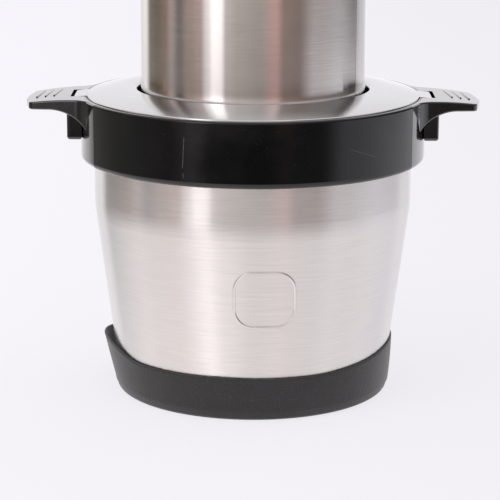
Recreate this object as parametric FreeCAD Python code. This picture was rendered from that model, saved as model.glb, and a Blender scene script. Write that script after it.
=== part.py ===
import FreeCAD, Part
import math
import os

# Yam pounder with a steel bowl, a collar with two wing handles and a lift off motor head.
# Millimetres, +Z up, origin on the table under the middle of the bowl, +X along the wings.

V = FreeCAD.Vector
ORIGIN = V(0, 0, 0)
UP = V(0, 0, 1)
ALONG_X = V(1, 0, 0)
ALONG_Y = V(0, 1, 0)

# Fits shared by the whole machine
RUN_FIT = 0.05           # radial clearance of a shaft that turns in its bore
SNUG = 0.05              # clearance between curved pieces fixed to each other
BODY_GAP = 0.35          # clearance between pieces that move past each other
SEAT_GAP = 0.3           # what is left under the head where it stands on the bowl
MELD = 0.5               # how far two forms of one moulding run into each other
OVER = 1.0               # how far a cutter runs past the face that it opens
FAR = 10.0               # how far a rough cutter reaches clear of a form
SAME = 1e-6              # what two heights may differ and still be one

# Rubber boot under the bowl
BOOT_FLOOR = 3.0
BOOT_WALL = 3.3
BOOT_LIP = 1.2
BOOT_H = 40.0
BOOT_FRONT_H = 32.0
BOOT_FLAT_LEFT = 80.0
BOOT_FLAT_RIGHT = 40.0
BOOT_RISE_LEFT = 5.5
BOOT_RISE_RIGHT = 7.2
BOOT_EDGE_R = 4.0
BOOT_EDGE_SHARE = 0.3     # height of the ring that rounds the foot, as a share of its radius
FLARE = 6.7
FLARE_START_Z = 8.0
FLARE_DEG = 190.0
FLARE_SPREAD_DEG = 30.0
FLARE_THICKER = 0.8
BOOT_POINTS = 16

# Steel bowl
BOWL_SHEET = 1.0
BOWL_R = 115.4
BOWL_TAPER_DEG = 7.5
BOWL_TAPER_H = 135.3
BOWL_BLEND_R = 90.0
BOWL_CORNER_R = 9.0
BOWL_H = 204.0
RIM_FLANGE = 4.2

# Post in the bowl that carries the blades
POST_R = 6.0
POST_H = 40.0
POST_FOOT_R = 20.0
POST_FOOT_T = 2.0
POST_CHAMFER = 1.5
THRUST_T = 1.7

# Collar round the bowl rim
RIM_CLEAR = 0.4
COLLAR_WALL = 5.0
COLLAR_ABOVE_RIM = 10.0
COLLAR_H = 46.2
COLLAR_FOOT_R = 4.0
COLLAR_INNER_R = 0.8
COLLAR_SHOULDER_R = 1.4
COLLAR_LIP_T = 3.0
COLLAR_MOUTH = 1.0
COLLAR_RIBS = 12
COLLAR_RIB_T = 1.6

# Wing handles, each one moulding with a root plate let into the collar
ROOT_T = 2.6
ROOT_HALF_DEG = 26.4
ROOT_JOINT = 0.35
ROOT_SPREAD = 0.9       # how fast the wing's root widens towards the collar
ROOT_NECK = 1.5
WING_OUT = 39.5
WING_HALF_Y = 34.8
WING_TIP_HALF_Y = 26.5
WING_ROOT_BLEND_R = 12.0
WING_CORNER_R = 5.0
WING_CORNER_LEAST_R = 1.0
WING_TIP_R = 60.0
WING_TIP_BOW = 4.5
WING_DROP = 3.6
WING_CROWN = 0.9
WING_SIDE_H = 6.7
WING_TIP_H = 4.5
WING_KNEE_OUT = 20.0
WING_WALL = 2.4
WING_TOP_T = 2.6
WING_EDGE_R = 1.1
WING_ROOM = 5.0
WING_BACK = 20.0        # how far the wing's raw form runs in past the collar
GUSSET_H = 20.7
GUSSET_BOW = 3.3
POCKET_BLOCK_OUT = 8.2
POCKET_BLOCK_H = 29.6
POCKET_BLOCK_HALF_Y = 28.5
POCKET_BLOCK_R = 2.2
POCKET_WALL = 1.9
POCKET_W = 3.8
POCKET_DEPTH = 13.0
GROOVES = 3
GROOVE_W = 1.1
GROOVE_DEPTH = 0.6
GROOVE_PITCH = 6.2
GROOVE_BACK_Y = 20.0
GROOVE_FRONT_Y = -8.0
GROOVE_SLANT = 3.6
GROOVE_FIRST_OUT = 18.8
DIMPLE_R = 0.95
DIMPLE_FLOOR = 1 / 3       # share of its radius at its floor
DIMPLE_MOUTH = 1.6         # and as far above the wing as it is deep
DIMPLE_DEPTH = 1.1
HANDLE_SCREW_R = 2.0
HANDLE_SCREW_HEAD_R = 3.6
HANDLE_SCREW_HEAD_T = 2.4
HANDLE_SCREW_DEG = 20.0
HANDLE_SCREW_COVERED = 0.8
HANDLE_SCREW_BELOW_RIM = 20.0

# Steel cover of the lid
COVER_SHEET = 0.8
COVER_RIM_CLEAR = 0.6
COVER_ABOVE_COLLAR = 0.8
COVER_RISE = 5.2
COVER_HOLE_GAP = 2.6
COVER_LIP = 3.2
COVER_BEND_R = 1.0
COVER_HOLE_BEND_R = 2.4
COVER_SLOT_DROP = 0.6
TONGUE_HALF_Y = 14.9
TONGUE_OUT = 8.9
TONGUE_DROP = 1.2
TONGUE_TAB = 8.0
TONGUE_ROOT = 4.0
TONGUE_SINK = 0.15
TONGUE_CLEAR = 0.7

# Moulded lid base under the cover
LID_SHELF_T = 2.5
LID_RIM_WALL = 2.0
LID_SKIRT_CLEAR = 1.2
LID_SKIRT_T = 2.6
LID_SKIRT_H = 14.0
LID_WEB_DROP = 4.3
LID_WEB_T = 3.0
LID_RIBS = 8
LID_RIB_T = 2.0
LID_RIB_H = 7.0
LID_BOSS_R = 16.0
LID_BOSS_H = 17.0
LID_COVER_GAP = 1.0
LID_FOOT_RIM = 2.0
SEAL_H = 6.0
SEAL_GROOVE = 1.4
SEAL_UP = 3.0
SEAL_SHY = 0.2

# Motor drum
DRUM_R = 81.3
DRUM_SHEET = 0.8
DRUM_H = 101.5
DRUM_FOOT = 9.2
DRUM_SPIGOT_T = 2.0
DRUM_SPIGOT_H = 6.0
DRUM_SEAM_DEG = -27.0
DRUM_SEAM_W = 0.5
DRUM_SEAM_DEPTH = 0.3

# Moulded cap with the push buttons
CAP_WALL = 2.4
CAP_H = 33.0
CAP_SIDE_H = 12.0
CAP_CROWN_IN = 45.3
CAP_HIP_IN = 9.3
CAP_HIP_DROP = 6.0
CAP_SHOULDER_R = 12.0
CAP_HIP_BEND_R = 14.0
CAP_CROWN_R = 30.0
CAP_SPIGOT_H = 6.0
CAP_VENTS = 9
CAP_VENT_W = 2.6
CAP_VENT_H = 8.0
CAP_VENT_UP = 3.0
CAP_VENT_STEP_DEG = 5.0
CAP_VENT_SIDES_DEG = (38.0, 142.0)
CAP_BOSS_R = 5.0
CAP_BOSS_Y = 52.0
CAP_SCREW_R = 1.8
CAP_SCREW_HEAD_R = 3.2
CAP_SCREW_HEAD_T = 2.0
CAP_SCREW_L = 12.0
CAP_SCREW_TIP_GAP = 2.0
BUTTON_R = 21.0
BUTTON_SPLIT = 3.0
BUTTON_PROUD = 4.0
BUTTON_TRAVEL = 3.0
BUTTON_LEDGE = 1.4
BUTTON_LEDGE_T = 1.5
BUTTON_STEM_R = 2.4
BUTTON_STEM_X = 11.0
BUTTON_EDGE_R = 1.2
SPRING_WIRE_R = 0.35
SPRING_R = 3.6
SPRING_TURNS = 5
SWITCH_HALF_X = 20.0
SWITCH_HALF_Y = 11.0
SWITCH_H = 5.0
SWITCH_EDGE_R = 1.5
SWITCH_PLATE_T = 2.0
SWITCH_POST_X = 27.0
SWITCH_POST_R = 3.0
GLAND_R = 7.6
GLAND_NECK_R = 5.6
GLAND_BORE_R = 3.6
GLAND_FLANGE_T = 2.0
GLAND_UP = 8.6
GLAND_NECK_IN = 1.0

# Planetary gearbox
MODULE = 1.25
PRESSURE_DEG = 25.0
SUN_TEETH = 12
PLANET_TEETH = 18
RING_TEETH = 48
PLANETS = 3
ADDENDUM = 0.85
DEDENDUM = 1.15
BACKLASH = 0.3
GEAR_W = 12.0
GEARBOX_FLOOR = 2.5
GEARBOX_WALL = 5.5
GEARBOX_TOP_SPACE = 2.5
GEARBOX_COVER_T = 3.0
AXIAL_GAP = 0.5
CARRIER_T = 3.5
CARRIER_RIM = 5.0
CARRIER_RELIEF = 1.0
PLANET_PIN_R = 3.0
OUTPUT_R = 8.0
OUTPUT_BUSH_T = 3.0
OUTPUT_FLAT = 1.5
GEARBOX_SCREWS = 4
GEARBOX_SCREW_DEG = 45.0
GEARBOX_SCREW_R = 2.0
GEARBOX_SCREW_HEAD_R = 3.6
GEARBOX_SCREW_HEAD_T = 2.4
GEARBOX_SCREW_L = 12.0
GEARBOX_SCREW_TIP_GAP = 1.0
GEARBOX_EAR_RIM = 1.5
GEARBOX_EAR_ROOF = 2.0
SHAFT_SEAL_T = 4.0
SHAFT_LIP_W = 1.0
SHAFT_LIP_T = 1.0
SHAFT_LIP_ROOT_T = 1.5

# Hexagon drive between the head and the blades
COUPLER_R = 15.0
COUPLER_H = 19.0
COUPLER_SOCKET = 14.0
HEX_FLATS = 16.4
HEX_ENGAGED = 12.0
HEX_LEAD_IN = 5.0

# Motor inside the drum
SHAFT_R = 4.0
SHAFT_CLEAR = 2.0
BEARING_R = 11.0
BEARING_T = 7.0
BEARING_WALL = 3.0
BEARING_DIP = 0.6
BRACKET_T = 3.0
BRACKET_EDGE = 1.5
BRACKET_WINDOW_DEG = 24.0
BRACKET_WINDOW_IN = 3.0
BRACKET_WINDOW_OUT = 1.0
FAN_R = 32.0
FAN_T = 8.0
FAN_DISC_T = 2.0
FAN_HUB_R = 8.0
FAN_BLADES = 9
FAN_BLADE_T = 1.5
FAN_BLADE_LEAN_DEG = 20.0
FAN_MELD = 1.0
FAN_SPACE = 2.5
FAN_GAP = 0.5
STACK_H = 38.0
STATOR_HALF_X = 42.0
STATOR_HALF_Y = 46.0
STATOR_CORNER_R = 8.0
STATOR_YOKE = 8.5
POLE_HALF_X = 16.0
SHOE_T = 4.0
SHOE_GAP_OUT = 6.0
SHOE_GAP_HALF = 8.0
AIR_GAP = 0.6
ARMATURE_R = 22.0
ARMATURE_SLOTS = 12
SLOT_W = 2.6
SLOT_DEPTH = 8.0
WINDING_R = 19.5
WINDING_H = 6.0
WINDING_INNER = 2.0
WINDING_EASE = 2.0
WINDING_GAP = 0.1
COIL_T = 6.0
COIL_HEAD = 6.0
COIL_SHOE_GAP = 0.5
COIL_SIDE_GAP = 0.2
COIL_END_GAP = 0.3
COMMUTATOR_R = 11.0
COMMUTATOR_H = 12.0
COMMUTATOR_BARS = 12
COMMUTATOR_GROOVE = 0.6
COMMUTATOR_GROOVE_DEPTH = 1.0
BRUSH_HALF_Y = 3.0
BRUSH_H = 8.0
BRUSH_L = 14.0
HOLDER_WALL = 1.5
HOLDER_GAP = 3.0
PILLAR_X = 36.5
PILLAR_Y = 40.5
PILLAR_R = 4.5
MOTOR_BOLT_R = 2.0
MOTOR_BOLT_HEAD_R = 3.5
MOTOR_BOLT_HEAD_T = 2.5
MOTOR_BOLT_SHY = 0.2
UPPER_PILLAR_H = 21.0

# Blades and their hub
HUB_R = 10.0
HUB_SHOULDER_R = 15.0
HUB_SHOULDER_H = 10.0
HUB_CONE_H = 16.0
HUB_STEM_R = 9.0
HUB_SHOULDER_BEND_R = 4.0
HUB_CONE_BEND_R = 8.0
HUB_FLAT = 8.6
BLADE_T = 2.0
BLADE_REACH = 86.0
BLADE_ROOT_HALF = 15.0
BLADE_SWEEP = 14.0
BLADE_TIP_HALF = 4.0
BLADE_BEVEL = 6.0
BLADE_EDGE_T = 0.5
BLADE_BELLY = (0.55, 0.2)     # share of the reach, share of the sweep
BLADE_HOLLOW = (0.5, 0.35)    # the same for the back edge
BLADE_TIP_LEAN = 2.0
BLADE_DISC_RIM = 2.0
BLADE_BEVEL_START = 3.0
BLADE_BEND_R = 3.0
BLADE_RISE_DEG = 18.0
BLADE_FLAT_R = 20.0
UPPER_REACH = 78.0
UPPER_STRIP_SPARE = 5.0
NUT_R = 15.0
NUT_T = 5.0
NUT_FLAT = 1.5
SPACER_H = 30.0
SPACER_R = 14.0

# Heights and radii that follow from the sizes above
TAPER = math.tan(math.radians(BOWL_TAPER_DEG))
BOWL_Z = BOOT_FLOOR
BOWL_SHOULDER_Z = BOWL_Z + BOWL_TAPER_H
BOWL_FOOT_R = BOWL_R - BOWL_TAPER_H * TAPER
RIM_Z = BOWL_Z + BOWL_H
RIM_R = BOWL_R + RIM_FLANGE
COLLAR_IN_R = RIM_R + RIM_CLEAR
COLLAR_R = COLLAR_IN_R + COLLAR_WALL
COLLAR_TOP = RIM_Z + COLLAR_ABOVE_RIM
COLLAR_Z = COLLAR_TOP - COLLAR_H
COLLAR_MOUTH_R = COLLAR_IN_R + COLLAR_MOUTH
ROOT_R = COLLAR_R - ROOT_T
WING_TIP_X = COLLAR_R + WING_OUT
GROOVE_FIRST_X = COLLAR_R + GROOVE_FIRST_OUT
HANDLE_SCREW_END = COLLAR_R - HANDLE_SCREW_COVERED
POST_Z = BOWL_Z + BOWL_SHEET
POST_FOOT_TOP = POST_Z + POST_FOOT_T
POST_TOP = POST_FOOT_TOP + POST_H
COVER_R = COLLAR_MOUTH_R - COVER_RIM_CLEAR
COVER_RIM_Z = COLLAR_TOP + COVER_ABOVE_COLLAR
COVER_HOLE_R = DRUM_R + COVER_HOLE_GAP
COVER_TOP_Z = COVER_RIM_Z + COVER_RISE
TONGUE_X = COVER_R + TONGUE_OUT
LID_Z = RIM_Z + SEAT_GAP
LID_R = COVER_R - COVER_SHEET - SNUG
SKIRT_R = BOWL_R - BOWL_SHEET - LID_SKIRT_CLEAR
SKIRT_Z = LID_Z - LID_SKIRT_H
SEAL_Z = SKIRT_Z + SEAL_UP
LID_FOOT_R = COVER_HOLE_R + COVER_SHEET + LID_FOOT_RIM
WEB_Z = LID_Z - LID_WEB_DROP
WEB_TOP = WEB_Z + LID_WEB_T
BOSS_Z = WEB_Z - LID_BOSS_H
DRUM_Z = LID_Z + DRUM_FOOT
DRUM_IN_R = DRUM_R - DRUM_SHEET
DRUM_TOP = DRUM_Z + DRUM_H
CAP_TOP = DRUM_TOP + CAP_H
CAP_UNDER = CAP_TOP - CAP_WALL
CAP_TOP_R = DRUM_R - CAP_CROWN_IN
CAP_HIP_R = DRUM_R - CAP_HIP_IN
PITCH_SUN = MODULE * SUN_TEETH / 2
PITCH_PLANET = MODULE * PLANET_TEETH / 2
PITCH_RING = MODULE * RING_TEETH / 2
PLANET_ORBIT = PITCH_SUN + PITCH_PLANET
GEARBOX_R = PITCH_RING + DEDENDUM * MODULE + GEARBOX_WALL
CARRIER_Z = WEB_TOP + GEARBOX_FLOOR + AXIAL_GAP
CARRIER_TOP = CARRIER_Z + CARRIER_T
GEAR_Z = CARRIER_TOP + AXIAL_GAP
GEAR_TOP = GEAR_Z + GEAR_W
GEARBOX_TOP = GEAR_TOP + GEARBOX_TOP_SPACE
BRACKET_Z = GEARBOX_TOP + GEARBOX_COVER_T
LOWER_BEARING_Z = BRACKET_Z + BRACKET_T
FAN_Z = LOWER_BEARING_Z + BEARING_T + FAN_SPACE
STATOR_Z = FAN_Z + FAN_T + FAN_GAP + COIL_HEAD
STATOR_TOP = STATOR_Z + STACK_H
COMMUTATOR_Z = STATOR_TOP + WINDING_H + AXIAL_GAP
PLATE_Z = STATOR_TOP + UPPER_PILLAR_H
UPPER_BEARING_Z = PLATE_Z + BRACKET_T
SHAFT_TOP = UPPER_BEARING_Z + BEARING_T
SWITCH_PLATE_Z = SHAFT_TOP + AXIAL_GAP
SWITCH_Z = SWITCH_PLATE_Z + SWITCH_PLATE_T
SWITCH_TOP = SWITCH_Z + SWITCH_H
BUTTON_LEDGE_TOP = CAP_UNDER - BODY_GAP
BUTTON_LEDGE_Z = BUTTON_LEDGE_TOP - BUTTON_LEDGE_T
BUTTON_TOP = CAP_TOP + BUTTON_PROUD
HUB_Z = POST_FOOT_TOP + THRUST_T + SEAT_GAP
BLADE_Z = HUB_Z + NUT_T
SPACER_Z = BLADE_Z + BLADE_T
UPPER_BLADE_Z = SPACER_Z + SPACER_H
SHOULDER_Z = UPPER_BLADE_Z + BLADE_T
STEM_Z = SHOULDER_Z + HUB_SHOULDER_H + HUB_CONE_H
COUPLER_Z = BOSS_Z - AXIAL_GAP - COUPLER_H
HEX_TOP = COUPLER_Z + HEX_ENGAGED
HEX_Z = COUPLER_Z - 2 * AXIAL_GAP


# Small building blocks


def save(name, *solids):
    """Write one named piece, or a group of like pieces, to its own file."""
    shape = solids[0] if len(solids) == 1 else Part.makeCompound(list(solids))
    shape.exportStep(os.path.join("parts", name + ".step"))


def fused(first, *others):
    """One solid from pieces that touch or overlap."""
    return first.fuse(list(others)).removeSplitter()


def rod(radius, z0, z1, x=0.0, y=0.0):
    return Part.makeCylinder(radius, z1 - z0, V(x, y, z0), UP)


def tube(inner, outer, z0, z1, x=0.0, y=0.0):
    return rod(outer, z0, z1, x, y).cut(rod(inner, z0 - OVER, z1 + OVER, x, y))


def block(x0, x1, y0, y1, z0, z1):
    return Part.makeBox(x1 - x0, y1 - y0, z1 - z0, V(x0, y0, z0))


def turned(shape, degrees):
    return shape.rotated(ORIGIN, UP, degrees)


def around(shape, count, start=0.0):
    """Copies of a shape spaced evenly round the upright axis."""
    return [turned(shape, start + 360.0 * i / count) for i in range(count)]


def upright_edges(shape):
    """Edges that run up and down."""
    return [e for e in shape.Edges if e.BoundBox.ZLength > e.Length / 2]


def six_corners(radius):
    """Corners of a regular hexagon, the first one again at the end."""
    turns = [math.radians(60 * i) for i in range(7)]
    return [(radius * math.cos(turn), radius * math.sin(turn)) for turn in turns]


def in_section(u, v):
    return V(u, 0, v)


def in_plan(u, v):
    return V(u, v, 0)


def unit(du, dv):
    size = math.hypot(du, dv)
    return du / size, dv / size


def corner_points(before, here, after):
    """Start, middle and end of the arc that rounds one corner of an outline."""
    au, av = unit(before[0] - here[0], before[1] - here[1])
    bu, bv = unit(after[0] - here[0], after[1] - here[1])
    half = math.acos(max(-1.0, min(1.0, au * bu + av * bv))) / 2
    back = here[2] / math.tan(half)
    mu, mv = unit(au + bu, av + bv)
    reach = here[2] / math.sin(half) - here[2]
    start = (here[0] + au * back, here[1] + av * back)
    middle = (here[0] + mu * reach, here[1] + mv * reach)
    end = (here[0] + bu * back, here[1] + bv * back)
    return start, middle, end


def outline(corners, place):
    """Closed face from corners (u, v, radius), each rounded by its radius."""
    edges = []
    first = None
    last = None
    for i, here in enumerate(corners):
        arc = None
        points = [here[:2]]
        if here[2] > 0:
            arc = corner_points(corners[i - 1], here, corners[(i + 1) % len(corners)])
            points = arc
        start = place(*points[0])
        if last is not None and last.distanceToPoint(start) > 1e-6:
            edges.append(Part.LineSegment(last, start).toShape())
        if arc:
            edges.append(Part.Arc(*[place(*p) for p in arc]).toShape())
        last = place(*points[-1])
        first = start if first is None else first
    if last.distanceToPoint(first) > 1e-6:
        edges.append(Part.LineSegment(last, first).toShape())
    return Part.Face(Part.Wire(edges))


def revolved(corners):
    """Solid of revolution of a section given as (radius, height, rounding)."""
    return outline(corners, in_section).revolve(ORIGIN, UP, 360)


def offset_line(a, b, t):
    du, dv = unit(b[0] - a[0], b[1] - a[1])
    return (a[0] - dv * t, a[1] + du * t), (b[0] - dv * t, b[1] + du * t)


def crossing(line1, line2):
    (x1, y1), (x2, y2) = line1
    (x3, y3), (x4, y4) = line2
    den = (x1 - x2) * (y3 - y4) - (y1 - y2) * (x3 - x4)
    a = x1 * y2 - y1 * x2
    b = x3 * y4 - y3 * x4
    return (a * (x3 - x4) - (x1 - x2) * b) / den, (a * (y3 - y4) - (y1 - y2) * b) / den


def sheet_section(chain, t):
    """Section of a bent sheet: the chain and its copy moved t to the left of the way it runs."""
    lines = [offset_line(chain[i], chain[i + 1], t) for i in range(len(chain) - 1)]
    inner = [(*lines[0][0], 0.0)]
    for i in range(1, len(chain) - 1):
        u, v = crossing(lines[i - 1], lines[i])
        a = chain[i - 1]
        b = chain[i]
        c = chain[i + 1]
        left = (b[0] - a[0]) * (c[1] - b[1]) - (b[1] - a[1]) * (c[0] - b[0]) > 0
        inner.append((u, v, max(b[2] - t, 0.0) if left else b[2] + t))
    inner.append((*lines[-1][1], 0.0))
    return list(chain) + inner[::-1]


def sector(r_in, r_out, half_deg, z0, z1):
    """Part of a ring, centred on +X."""
    ring = Part.makeCylinder(r_out, z1 - z0, V(0, 0, z0), UP, 2 * half_deg)
    return turned(ring, -half_deg).cut(rod(r_in, z0 - OVER, z1 + OVER))


# Bowl, boot, post and collar


def bowl_r(z):
    """Outer radius of the tapered part of the bowl at a height."""
    return BOWL_R - max(BOWL_SHOULDER_Z - z, 0.0) * TAPER


def bowl_solid(grow):
    """The bowl as if it were full, its outside moved out by grow."""
    z = BOWL_Z - grow
    return revolved([(0, z, 0), (BOWL_FOOT_R + grow, z, BOWL_CORNER_R + grow),
                     (BOWL_R + grow, BOWL_SHOULDER_Z, BOWL_BLEND_R),
                     (BOWL_R + grow, RIM_Z, 0), (0, RIM_Z, 0)])


def bowl():
    """Drawn steel bowl: flat floor, tapered wall, straight top and an outward rim."""
    chain = [(0, BOWL_Z, 0), (BOWL_FOOT_R, BOWL_Z, BOWL_CORNER_R),
             (BOWL_R, BOWL_SHOULDER_Z, BOWL_BLEND_R),
             (BOWL_R, RIM_Z - BOWL_SHEET, 0),
             (RIM_R, RIM_Z - BOWL_SHEET, 0)]
    return revolved(sheet_section(chain, BOWL_SHEET))


def flare_at(angle_deg):
    """How far the boot has come away from the bowl, from 0 to 1, round its rim."""
    off = (angle_deg - FLARE_DEG + 180.0) % 360.0 - 180.0
    return math.exp(-(off / FLARE_SPREAD_DEG) ** 2)


def boot_wire(z, radius):
    """Closed smooth ring at one height, pushed out where the boot is flared."""
    out = FLARE * max(z - FLARE_START_Z, 0.0) / (BOOT_H - FLARE_START_Z)
    points = []
    for i in range(BOOT_POINTS):
        a = 360.0 * i / BOOT_POINTS
        r = radius + out * flare_at(a)
        points.append(V(r * math.cos(math.radians(a)), r * math.sin(math.radians(a)), z))
    curve = Part.BSplineCurve()
    curve.interpolate(Points=points, PeriodicFlag=True)
    return Part.Wire(curve.toShape())


def boot_loft(heights, radius_at):
    """Solid through level rings, straight from each ring to the next."""
    return Part.makeLoft([boot_wire(z, radius_at(z)) for z in heights], True, True)


def boot_out_r(z):
    """Outer radius of the boot: a round foot, then a wall that thins to its lip."""
    share = (z - BOOT_FLOOR) / (BOOT_H - BOOT_FLOOR)
    under = max(BOOT_EDGE_R - z, 0.0)
    round_in = BOOT_EDGE_R - math.sqrt(BOOT_EDGE_R ** 2 - under ** 2)
    return bowl_r(z) + BOOT_WALL + (BOOT_LIP - BOOT_WALL) * share ** 2 - round_in


def lip_rise(side, flat, rise, reach):
    """Three points of the lip's line, from where it leaves the level out to one side."""
    half = bowl_r(BOOT_H)
    points = []
    for x in (flat, (flat + reach) / 2, reach):
        z = BOOT_FRONT_H + rise * ((x - flat) / (half - flat)) ** 2
        points.append(V(side * x, -reach, z))
    return points


def scoop_cutter():
    """Prism above the lip's line: level at the front, rising to both sides."""
    reach = bowl_r(BOOT_H) + 2 * FLARE
    left = lip_rise(-1, BOOT_FLAT_LEFT, BOOT_RISE_LEFT, reach)
    right = lip_rise(1, BOOT_FLAT_RIGHT, BOOT_RISE_RIGHT, reach)
    high = [V(reach, -reach, 2 * BOOT_H), V(-reach, -reach, 2 * BOOT_H)]
    lines = [Part.Arc(*left), Part.LineSegment(left[0], right[0]), Part.Arc(*right),
             Part.LineSegment(right[2], high[0]), Part.LineSegment(*high),
             Part.LineSegment(high[1], left[2])]
    wire = Part.Wire(Part.__sortEdges__([line.toShape() for line in lines]))
    return Part.Face(wire).extrude(V(0, 2 * reach, 0))


def base_boot():
    """Soft cup that grips the foot of the bowl and has peeled away on one side."""
    middle = (BOOT_EDGE_R + BOOT_H) / 2
    solid = boot_loft([0, BOOT_EDGE_R * BOOT_EDGE_SHARE, BOOT_EDGE_R, middle, BOOT_H], boot_out_r)
    space = boot_loft([FLARE_START_Z, BOOT_H + OVER], lambda z: bowl_r(z) - FLARE_THICKER)
    return solid.cut(bowl_solid(SNUG)).cut(space).cut(scoop_cutter())


def bowl_post():
    """Pin on a round foot, welded to the bowl floor, that the blades turn on."""
    foot = rod(POST_FOOT_R, POST_Z, POST_FOOT_TOP)
    pin = revolved([(0, POST_FOOT_TOP, 0), (POST_R, POST_FOOT_TOP, 0),
                    (POST_R, POST_TOP - POST_CHAMFER, 0),
                    (POST_R - POST_CHAMFER, POST_TOP, 0), (0, POST_TOP, 0)])
    return fused(foot, pin)


def thrust_washer():
    return tube(POST_R + SNUG, HUB_SHOULDER_R, POST_FOOT_TOP, POST_FOOT_TOP + THRUST_T)


def collar_full():
    """The whole collar before the handles are let into it."""
    touch = BOWL_R + SNUG
    foot_in = touch + BODY_GAP
    ledge = RIM_Z - BOWL_SHEET
    return revolved([(COLLAR_MOUTH_R, COLLAR_TOP, 0),
                     (COLLAR_MOUTH_R, ledge, 0),
                     (foot_in, ledge, 0),
                     (foot_in, ledge - COLLAR_LIP_T, 0),
                     (COLLAR_IN_R, ledge - COLLAR_LIP_T, 0),
                     (COLLAR_IN_R, COLLAR_Z + COLLAR_LIP_T, 0),
                     (touch, COLLAR_Z + COLLAR_LIP_T, 0),
                     (touch, COLLAR_Z, COLLAR_INNER_R),
                     (COLLAR_R, COLLAR_Z, COLLAR_FOOT_R),
                     (COLLAR_R, COLLAR_TOP, COLLAR_SHOULDER_R)])


def screw_axis(z, degrees):
    a = math.radians(degrees)
    return V(0, 0, z), V(math.cos(a), math.sin(a), 0)


def radial_rod(radius, r0, r1, z, degrees):
    """Round bar that points away from the upright axis."""
    base, way = screw_axis(z, degrees)
    return Part.makeCylinder(radius, r1 - r0, base + way * r0, way)


def handle_screw_places():
    z = RIM_Z - HANDLE_SCREW_BELOW_RIM
    return [(z, side + turn) for side in (0.0, 180.0) for turn in (-HANDLE_SCREW_DEG, HANDLE_SCREW_DEG)]


def tongue_notch():
    """Space for the cover's tongue across the collar and into the wing's top."""
    x1 = pocket_x()[1]
    half = TONGUE_HALF_Y + TONGUE_CLEAR
    floor = wing_top_z(x1) - 2 * COVER_SHEET
    return block(COLLAR_IN_R - OVER, x1, -half, half, floor, COLLAR_TOP + OVER)


def collar_ring():
    """Moulded ring with ribs inside, a seat for each handle, tongue notches and screw holes."""
    z0 = COLLAR_Z - OVER
    z1 = COLLAR_TOP + OVER
    seat = sector(ROOT_R, COLLAR_R + OVER, ROOT_HALF_DEG, z0, z1)
    ring = collar_full().cut([seat, turned(seat, 180), tongue_notch(), mirrored(tongue_notch())])
    rib = block(BOWL_R + BODY_GAP, COLLAR_IN_R + OVER, -COLLAR_RIB_T / 2, COLLAR_RIB_T / 2,
                COLLAR_Z + COLLAR_LIP_T, RIM_Z - BOWL_SHEET - COLLAR_LIP_T)
    ring = fused(ring, *around(rib, COLLAR_RIBS, 180.0 / COLLAR_RIBS))
    for z, turn in handle_screw_places():
        ring = ring.cut(radial_rod(HANDLE_SCREW_R + SNUG, COLLAR_IN_R - OVER, ROOT_R + OVER, z, turn))
    return ring


def handle_screw(z, turn):
    """Pan head screw from inside the collar into the root plate of a handle."""
    seat = math.sqrt(COLLAR_IN_R ** 2 - HANDLE_SCREW_HEAD_R ** 2) - SNUG
    head = radial_rod(HANDLE_SCREW_HEAD_R, seat - HANDLE_SCREW_HEAD_T, seat, z, turn)
    stem = radial_rod(HANDLE_SCREW_R, seat, HANDLE_SCREW_END, z, turn)
    return fused(head, stem)


# Wing handles


def wing_top_z(x):
    """Height of the top face of a wing, a shallow crown that falls to the tip."""
    span = WING_TIP_X - COLLAR_MOUTH_R
    share = (x - COLLAR_MOUTH_R) / span
    return COLLAR_TOP - WING_DROP * share + 4 * WING_CROWN * share * (1 - share)


def wing_plan(inset, z0, z1):
    """Upright prism of the wing seen from above, its sides moved in by inset."""
    half = WING_HALF_Y - inset
    tip_half = WING_TIP_HALF_Y - inset
    tip = WING_TIP_X - inset
    root_x = COLLAR_R * math.cos(math.radians(ROOT_HALF_DEG)) - inset
    root_y = half + (COLLAR_R - root_x) * ROOT_SPREAD
    neck = COLLAR_R - ROOT_NECK
    corner = max(WING_CORNER_R - inset, WING_CORNER_LEAST_R)
    side = [(root_x, root_y, 0), (neck, half, WING_ROOT_BLEND_R),
            (tip - WING_TIP_BOW, tip_half, corner)]
    mirror = [(x, -y, r) for x, y, r in side]
    back = COLLAR_IN_R - WING_BACK
    half_turn = math.atan2(tip_half, WING_TIP_BOW)
    nose = tip + WING_TIP_R / math.sin(half_turn) - WING_TIP_R
    corners = [(back, -root_y, 0)] + mirror + [(nose, 0, WING_TIP_R)] + side[::-1] + [(back, root_y, 0)]
    face = outline(corners, in_plan)
    face.translate(V(0, 0, z0))
    return face.extrude(V(0, 0, z1 - z0))


def under_edge(x_tip, drop_side, drop_tip, bow, half):
    """Edges of the wing seen from the side, below its top: tip, underside and gusset curve."""
    knee_x = COLLAR_R + WING_KNEE_OUT
    knee = V(knee_x, -half, wing_top_z(knee_x) - drop_side)
    tip = V(x_tip, -half, wing_top_z(x_tip) - drop_tip)
    wall = V(COLLAR_IN_R - OVER, -half, COLLAR_TOP - GUSSET_H)
    chord = wall - knee
    across = V(chord.z, 0, -chord.x).normalize()
    middle = (knee + wall) * 0.5 + across * bow
    return tip, knee, middle, wall


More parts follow.
